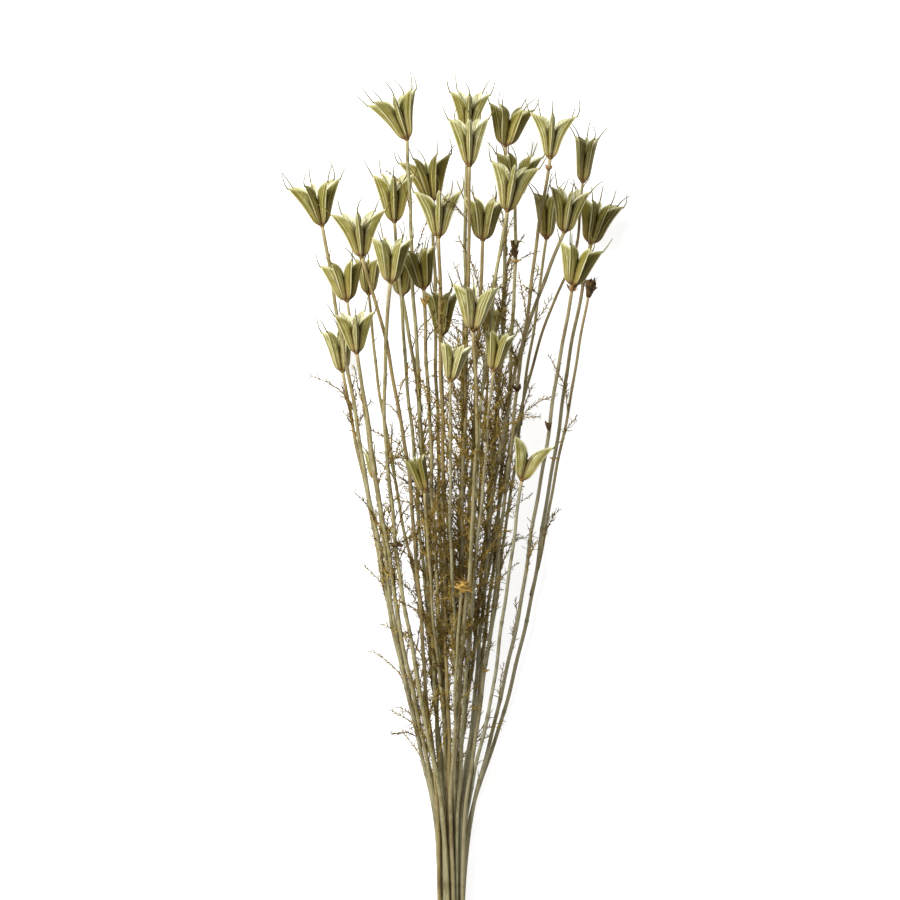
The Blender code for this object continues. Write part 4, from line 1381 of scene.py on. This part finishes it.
def petal_grid(centre, axis, out, across, size, closed, draw, narrow):
    """The places on one crumpled petal."""
    tilt = math.radians(85 * (1 - closed) * draw.uniform(0.4, 1.15) + 8 + 24 * closed ** 2)
    bend = draw.uniform(-1.4, 1.0) * (1 - 0.8 * closed) - 0.9 * closed ** 2
    wide = narrow * size * draw.uniform(0.28, 0.45)
    length = size * draw.uniform(0.7, 1.15)
    grid = np.zeros((PETAL_ROWS, PETAL_COLUMNS, 3))
    place = centre + out * size * 0.06
    for a in range(PETAL_ROWS):
        t = a / (PETAL_ROWS - 1)
        heading = tilt + bend * t
        forward = axis * math.cos(heading) + out * math.sin(heading)
        lift = axis * math.sin(heading) - out * math.cos(heading)
        half = wide * (0.25 + 0.9 * math.sin(math.pi * min(1.0, 0.15 + 0.8 * t)))
        for b in range(PETAL_COLUMNS):
            s = 2 * b / (PETAL_COLUMNS - 1) - 1
            fold = 0.35 * half * s * s + size * 0.05 * draw.gauss(0, 1) * t
            grid[a, b] = place + across * half * s + lift * fold
        place = place + forward * length / (PETAL_ROWS - 1)
    grid[..., 2] = np.maximum(grid[..., 2], LOWEST_PETAL)
    return grid


def add_petals(shape, centre, axis, count, size, closed, draw, narrow=1.0):
    """Crumpled petals round a point; closed petals lie along the axis, open ones spread."""
    axis = axis / np.linalg.norm(axis)
    right = np.cross(axis, (0.3, 0.1, 1.0))
    right /= np.linalg.norm(right)
    upper = np.cross(right, axis)
    for i in range(count):
        angle = 2 * math.pi * (i + draw.uniform(-0.3, 0.3)) / count
        out = right * math.cos(angle) + upper * math.sin(angle)
        across = upper * math.cos(angle) - right * math.sin(angle)
        grid = petal_grid(centre, axis, out, across, size, closed, draw, narrow)
        add_shell(shape, grid, size * 0.03, (0, 0),
                  tone=np.full(grid.shape[:2], draw.random()))


KNOB_RADIUS = 0.0032
KNOB_SHARES = (-0.03, 0.05, 0.25, 0.5, 0.62)
KNOB_PROFILE = (0.35, 0.5, 0.7, 0.6, 0.15)
WHISKERS = 7
WHISKER_RADIUS = 0.00025


def add_withered_head(shape, name, petals, closed):
    """A crumpled bud or flower on its stem, with the remains of its filaments."""
    head = HEADS[name]
    draw = random.Random("look of " + name)
    _, axis, _ = (np.array(v) for v in head_frame(name))
    base = head_base(name)
    ring = np.array([base + axis * share * head.length for share in KNOB_SHARES])
    knob = min(head.reach, KNOB_RADIUS)
    points, faces = tube(ring, knob * np.array(KNOB_PROFILE), 8)
    shape.add(points, faces, tone=0.2)
    narrow = 1 - NARROWING * closed
    for start, count, share in ((0.08, petals, 0.75), (0.3, petals // 2, 0.55),
                                (0.5, petals // 3, 0.5)):
        add_petals(shape, base + axis * head.length * start, axis, count, head.length * share,
                   closed, draw, narrow)
    for _ in range(WHISKERS):
        way = turned_from(axis, draw, draw.uniform(5, 60))
        whisker = wander(base + axis * head.length * 0.5, way, head.length * draw.uniform(0.5, 0.9),
                         0.002, 0.25, draw)
        add_thread(shape, whisker, WHISKER_RADIUS, 0.1)


# Tie

TWINE_STEPS = 60
TWINE_SIDES = 8
TWINE_SUNK = 0.00018
TWINE_PLIES = 2
TWINE_GROOVES = 0.12
TWINE_TWIST = 0.35


def twine_course(radius):
    """The turns of the twine round the foot of the bunch, side by side."""
    turns = int(TIE_WIDTH / (2 * radius)) - 1
    major = TIE_INNER_RADIUS + TIE_THICKNESS / 2 - TWINE_SUNK
    rows = []
    for i in range(turns * TWINE_STEPS + 1):
        angle = 2 * math.pi * i / TWINE_STEPS
        y = -TIE_WIDTH / 2 + radius + (TIE_WIDTH - 2 * radius) * i / (turns * TWINE_STEPS)
        rows.append((major * math.cos(angle), y, tie_height() + major * math.sin(angle)))
    return np.array(rows)


# Stage

MIDDLE = (-0.0006, 0.290, 0.05)
KEY_PLACE = (-1.0, 1.1, 1.7)
KEY_SIZE = 0.9
FILL_PLACE = (1.3, -0.3, 1.5)
FILL_SIZE = 1.2
FLOOR_HALF_WIDTH = 4
SENSOR_WIDTH = 36.0
FARTHEST = 20.0


def add_floor(settings):
    """A pale floor that glows a little, as a backlit sweep does."""
    material, shader = new_material("Floor", 0.9, 0.2)
    shader.inputs["Base Color"].default_value = (*settings.floor, 1)
    shader.inputs["Emission Color"].default_value = (1, 1, 1, 1)
    shader.inputs["Emission Strength"].default_value = settings.glow
    mesh = bpy.data.meshes.new("floor")
    shape = bmesh.new()
    bmesh.ops.create_grid(shape, x_segments=1, y_segments=1, size=FLOOR_HALF_WIDTH)
    shape.to_mesh(mesh)
    shape.free()
    mesh.materials.append(material)
    floor = bpy.data.objects.new("floor", mesh)
    bpy.context.scene.collection.objects.link(floor)


def add_area_light(name, place, size, power):
    """A soft square light that faces the bunch."""
    light = bpy.data.lights.new(name, "AREA")
    light.shape = "SQUARE"
    light.size = size
    light.energy = power
    obj = bpy.data.objects.new(name, light)
    obj.location = place
    obj.rotation_euler = (Vector(MIDDLE) - Vector(place)).to_track_quat("-Z", "Y").to_euler()
    bpy.context.scene.collection.objects.link(obj)


def add_even_light(strength):
    """White light from all sides."""
    world = bpy.data.worlds.new("Even light")
    world.use_nodes = True
    world.node_tree.nodes["Background"].inputs["Color"].default_value = (1, 1, 1, 1)
    world.node_tree.nodes["Background"].inputs["Strength"].default_value = strength
    bpy.context.scene.world = world


def add_camera(settings):
    """A camera that looks straight down at the middle of the bunch."""
    camera = bpy.data.cameras.new("camera")
    camera.sensor_width = SENSOR_WIDTH
    camera.lens = camera.sensor_width * settings.camera_height / settings.view_width
    camera.clip_end = FARTHEST
    obj = bpy.data.objects.new("camera", camera)
    obj.location = (MIDDLE[0], MIDDLE[1], MIDDLE[2] + settings.camera_height)
    bpy.context.scene.collection.objects.link(obj)
    bpy.context.scene.camera = obj


# Operators, one for each piece or group of like pieces

def claim(piece, slot, *nodes):
    """Fixes a piece to the bunch and hides the solids that it stands for."""
    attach(piece, "root")
    if nodes:
        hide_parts(*nodes)


class NIGELLA_OT_stems(bpy.types.Operator):
    """Make every stem with its side stem"""
    bl_idname = "nigella.stems"
    bl_label = "Stems"

    def execute(self, context):
        settings = context.scene.nigella_stems
        material = stem_material(settings)
        for number in range(len(STEMS)):
            shape = Shape()
            for r, route in enumerate(ROUTES):
                if r == number or route.main == number:
                    add_stem(shape, r, settings)
            name = "stem_%02d" % (number + 1)
            claim(shape.build(name + "_ridged", [material]), "stem", name)
        return {"FINISHED"}


class NIGELLA_OT_leaves(bpy.types.Operator):
    """Make the dried thread leaves on every stem"""
    bl_idname = "nigella.leaves"
    bl_label = "Thread Leaves"

    def execute(self, context):
        settings = context.scene.nigella_leaves
        material = plain_dry_material("Dry leaf", settings.dark, settings.light, 0.75)
        for number in range(len(STEMS)):
            shape = Shape()
            for r, route in enumerate(ROUTES):
                if r == number or route.main == number:
                    add_leaves(shape, r, settings)
            if shape.count:
                claim(shape.build("stem_%02d_leaves" % (number + 1), [material]), "stem")
        return {"FINISHED"}


class NIGELLA_OT_heads(bpy.types.Operator):
    """Make every seed head with its follicles and beaks"""
    bl_idname = "nigella.heads"
    bl_label = "Seed Heads"

    def execute(self, context):
        settings = context.scene.nigella_heads
        skin = skin_material(settings)
        lining = lining_material(settings)
        beak = plain_dry_material("Pod beak", settings.deep, settings.body, 0.6)
        ring = plain_dry_material("Pod ring", settings.foot_colour, settings.body, 0.7)
        for name in HEADS:
            if name.startswith("pod_"):
                shape = Shape()
                add_head(shape, name, settings)
                claim(shape.build(name + "_follicles", [skin, lining, beak, ring]), "pod", name)
        return {"FINISHED"}


class NIGELLA_OT_withered(bpy.types.Operator):
    """Make the withered bud, the withered flower and the scraps on the stems"""
    bl_idname = "nigella.withered"
    bl_label = "Withered Pieces"

    def execute(self, context):
        settings = context.scene.nigella_withered
        materials = {
            "dark": plain_dry_material("Withered dark", settings.black, settings.brown, 0.8),
            "orange": plain_dry_material("Withered orange", settings.rust, settings.orange, 0.75),
            "pink": plain_dry_material("Withered pink", settings.brown, settings.pink, 0.7),
        }
        for name, kind, petals, closed in (("withered_bud", "dark", 11, 0.88),
                                           ("withered_flower", "orange", 9, 0.25)):
            shape = Shape()
            add_withered_head(shape, name, petals, closed)
            claim(shape.build(name + "_crumpled", [materials[kind]]), name, name)
        for number, scrap in enumerate(SCRAPS):
            draw = random.Random("scrap %d" % number)
            shape = Shape()
            closed = 0.8 if scrap.size > LARGE_SCRAP else 0.3
            add_petals(shape, carrier(scrap.x, scrap.y), np.array((0, 1.0, 0.4)), scrap.petals,
                       scrap.size, closed, draw, 1 - NARROWING * closed)
            piece = shape.build("scrap_%02d" % (number + 1), [materials[scrap.kind]])
            claim(piece, "withered_flower")
        return {"FINISHED"}


class NIGELLA_OT_tie(bpy.types.Operator):
    """Wind the twine round the foot of the bunch"""
    bl_idname = "nigella.tie"
    bl_label = "Tie"

    def execute(self, context):
        settings = context.scene.nigella_tie
        material = plain_dry_material("Twine", settings.dark, settings.light, 0.85)
        shape = Shape()
        radius = settings.twine_radius
        points, faces = tube(twine_course(radius), radius * 0.95, TWINE_SIDES, TWINE_PLIES,
                             TWINE_GROOVES, twist=TWINE_TWIST)
        shape.add(points, faces, tone=0.8)
        claim(shape.build("tie_twine", [material]), "tie", "tie")
        return {"FINISHED"}


class NIGELLA_OT_stage(bpy.types.Operator):
    """Make the floor, the lights and the camera that looks straight down"""
    bl_idname = "nigella.stage"
    bl_label = "Stage"

    def execute(self, context):
        settings = context.scene.nigella_stage
        add_floor(settings)
        add_area_light("key", KEY_PLACE, KEY_SIZE, settings.key)
        add_area_light("fill", FILL_PLACE, FILL_SIZE, settings.fill)
        add_even_light(settings.sky)
        add_camera(settings)
        context.scene.view_settings.view_transform = "Standard"
        return {"FINISHED"}


OPERATORS = (NIGELLA_OT_stems, NIGELLA_OT_leaves, NIGELLA_OT_heads, NIGELLA_OT_withered,
             NIGELLA_OT_tie, NIGELLA_OT_stage)


class NIGELLA_PT_panel(bpy.types.Panel):
    """Lists the pieces of the bunch"""
    bl_idname = "NIGELLA_PT_panel"
    bl_label = "Dried Nigella Bunch"
    bl_space_type = "VIEW_3D"
    bl_region_type = "UI"
    bl_category = "Nigella"

    def draw(self, context):
        for operator in OPERATORS:
            self.layout.operator(operator.bl_idname)
        for group in GROUPS:
            settings = getattr(context.scene, group)
            for key in settings.bl_rna.properties.keys():
                if key not in ("rna_type", "name"):
                    self.layout.prop(settings, key)


GROUPS = {
    "nigella_stems": NigellaStems,
    "nigella_heads": NigellaHeads,
    "nigella_leaves": NigellaLeaves,
    "nigella_withered": NigellaWithered,
    "nigella_tie": NigellaTie,
    "nigella_stage": NigellaStage,
}


def register():
    for name, group in GROUPS.items():
        bpy.utils.register_class(group)
        setattr(bpy.types.Scene, name, bpy.props.PointerProperty(type=group))
    for operator in OPERATORS:
        bpy.utils.register_class(operator)
    bpy.utils.register_class(NIGELLA_PT_panel)


def unregister():
    bpy.utils.unregister_class(NIGELLA_PT_panel)
    for operator in reversed(OPERATORS):
        bpy.utils.unregister_class(operator)
    for name, group in reversed(GROUPS.items()):
        delattr(bpy.types.Scene, name)
        bpy.utils.unregister_class(group)


def main():
    register()
    bpy.ops.nigella.stems()
    bpy.ops.nigella.leaves()
    bpy.ops.nigella.heads()
    bpy.ops.nigella.withered()
    bpy.ops.nigella.tie()
    bpy.ops.nigella.stage()
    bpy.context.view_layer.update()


if __name__ == "__main__":
    main()
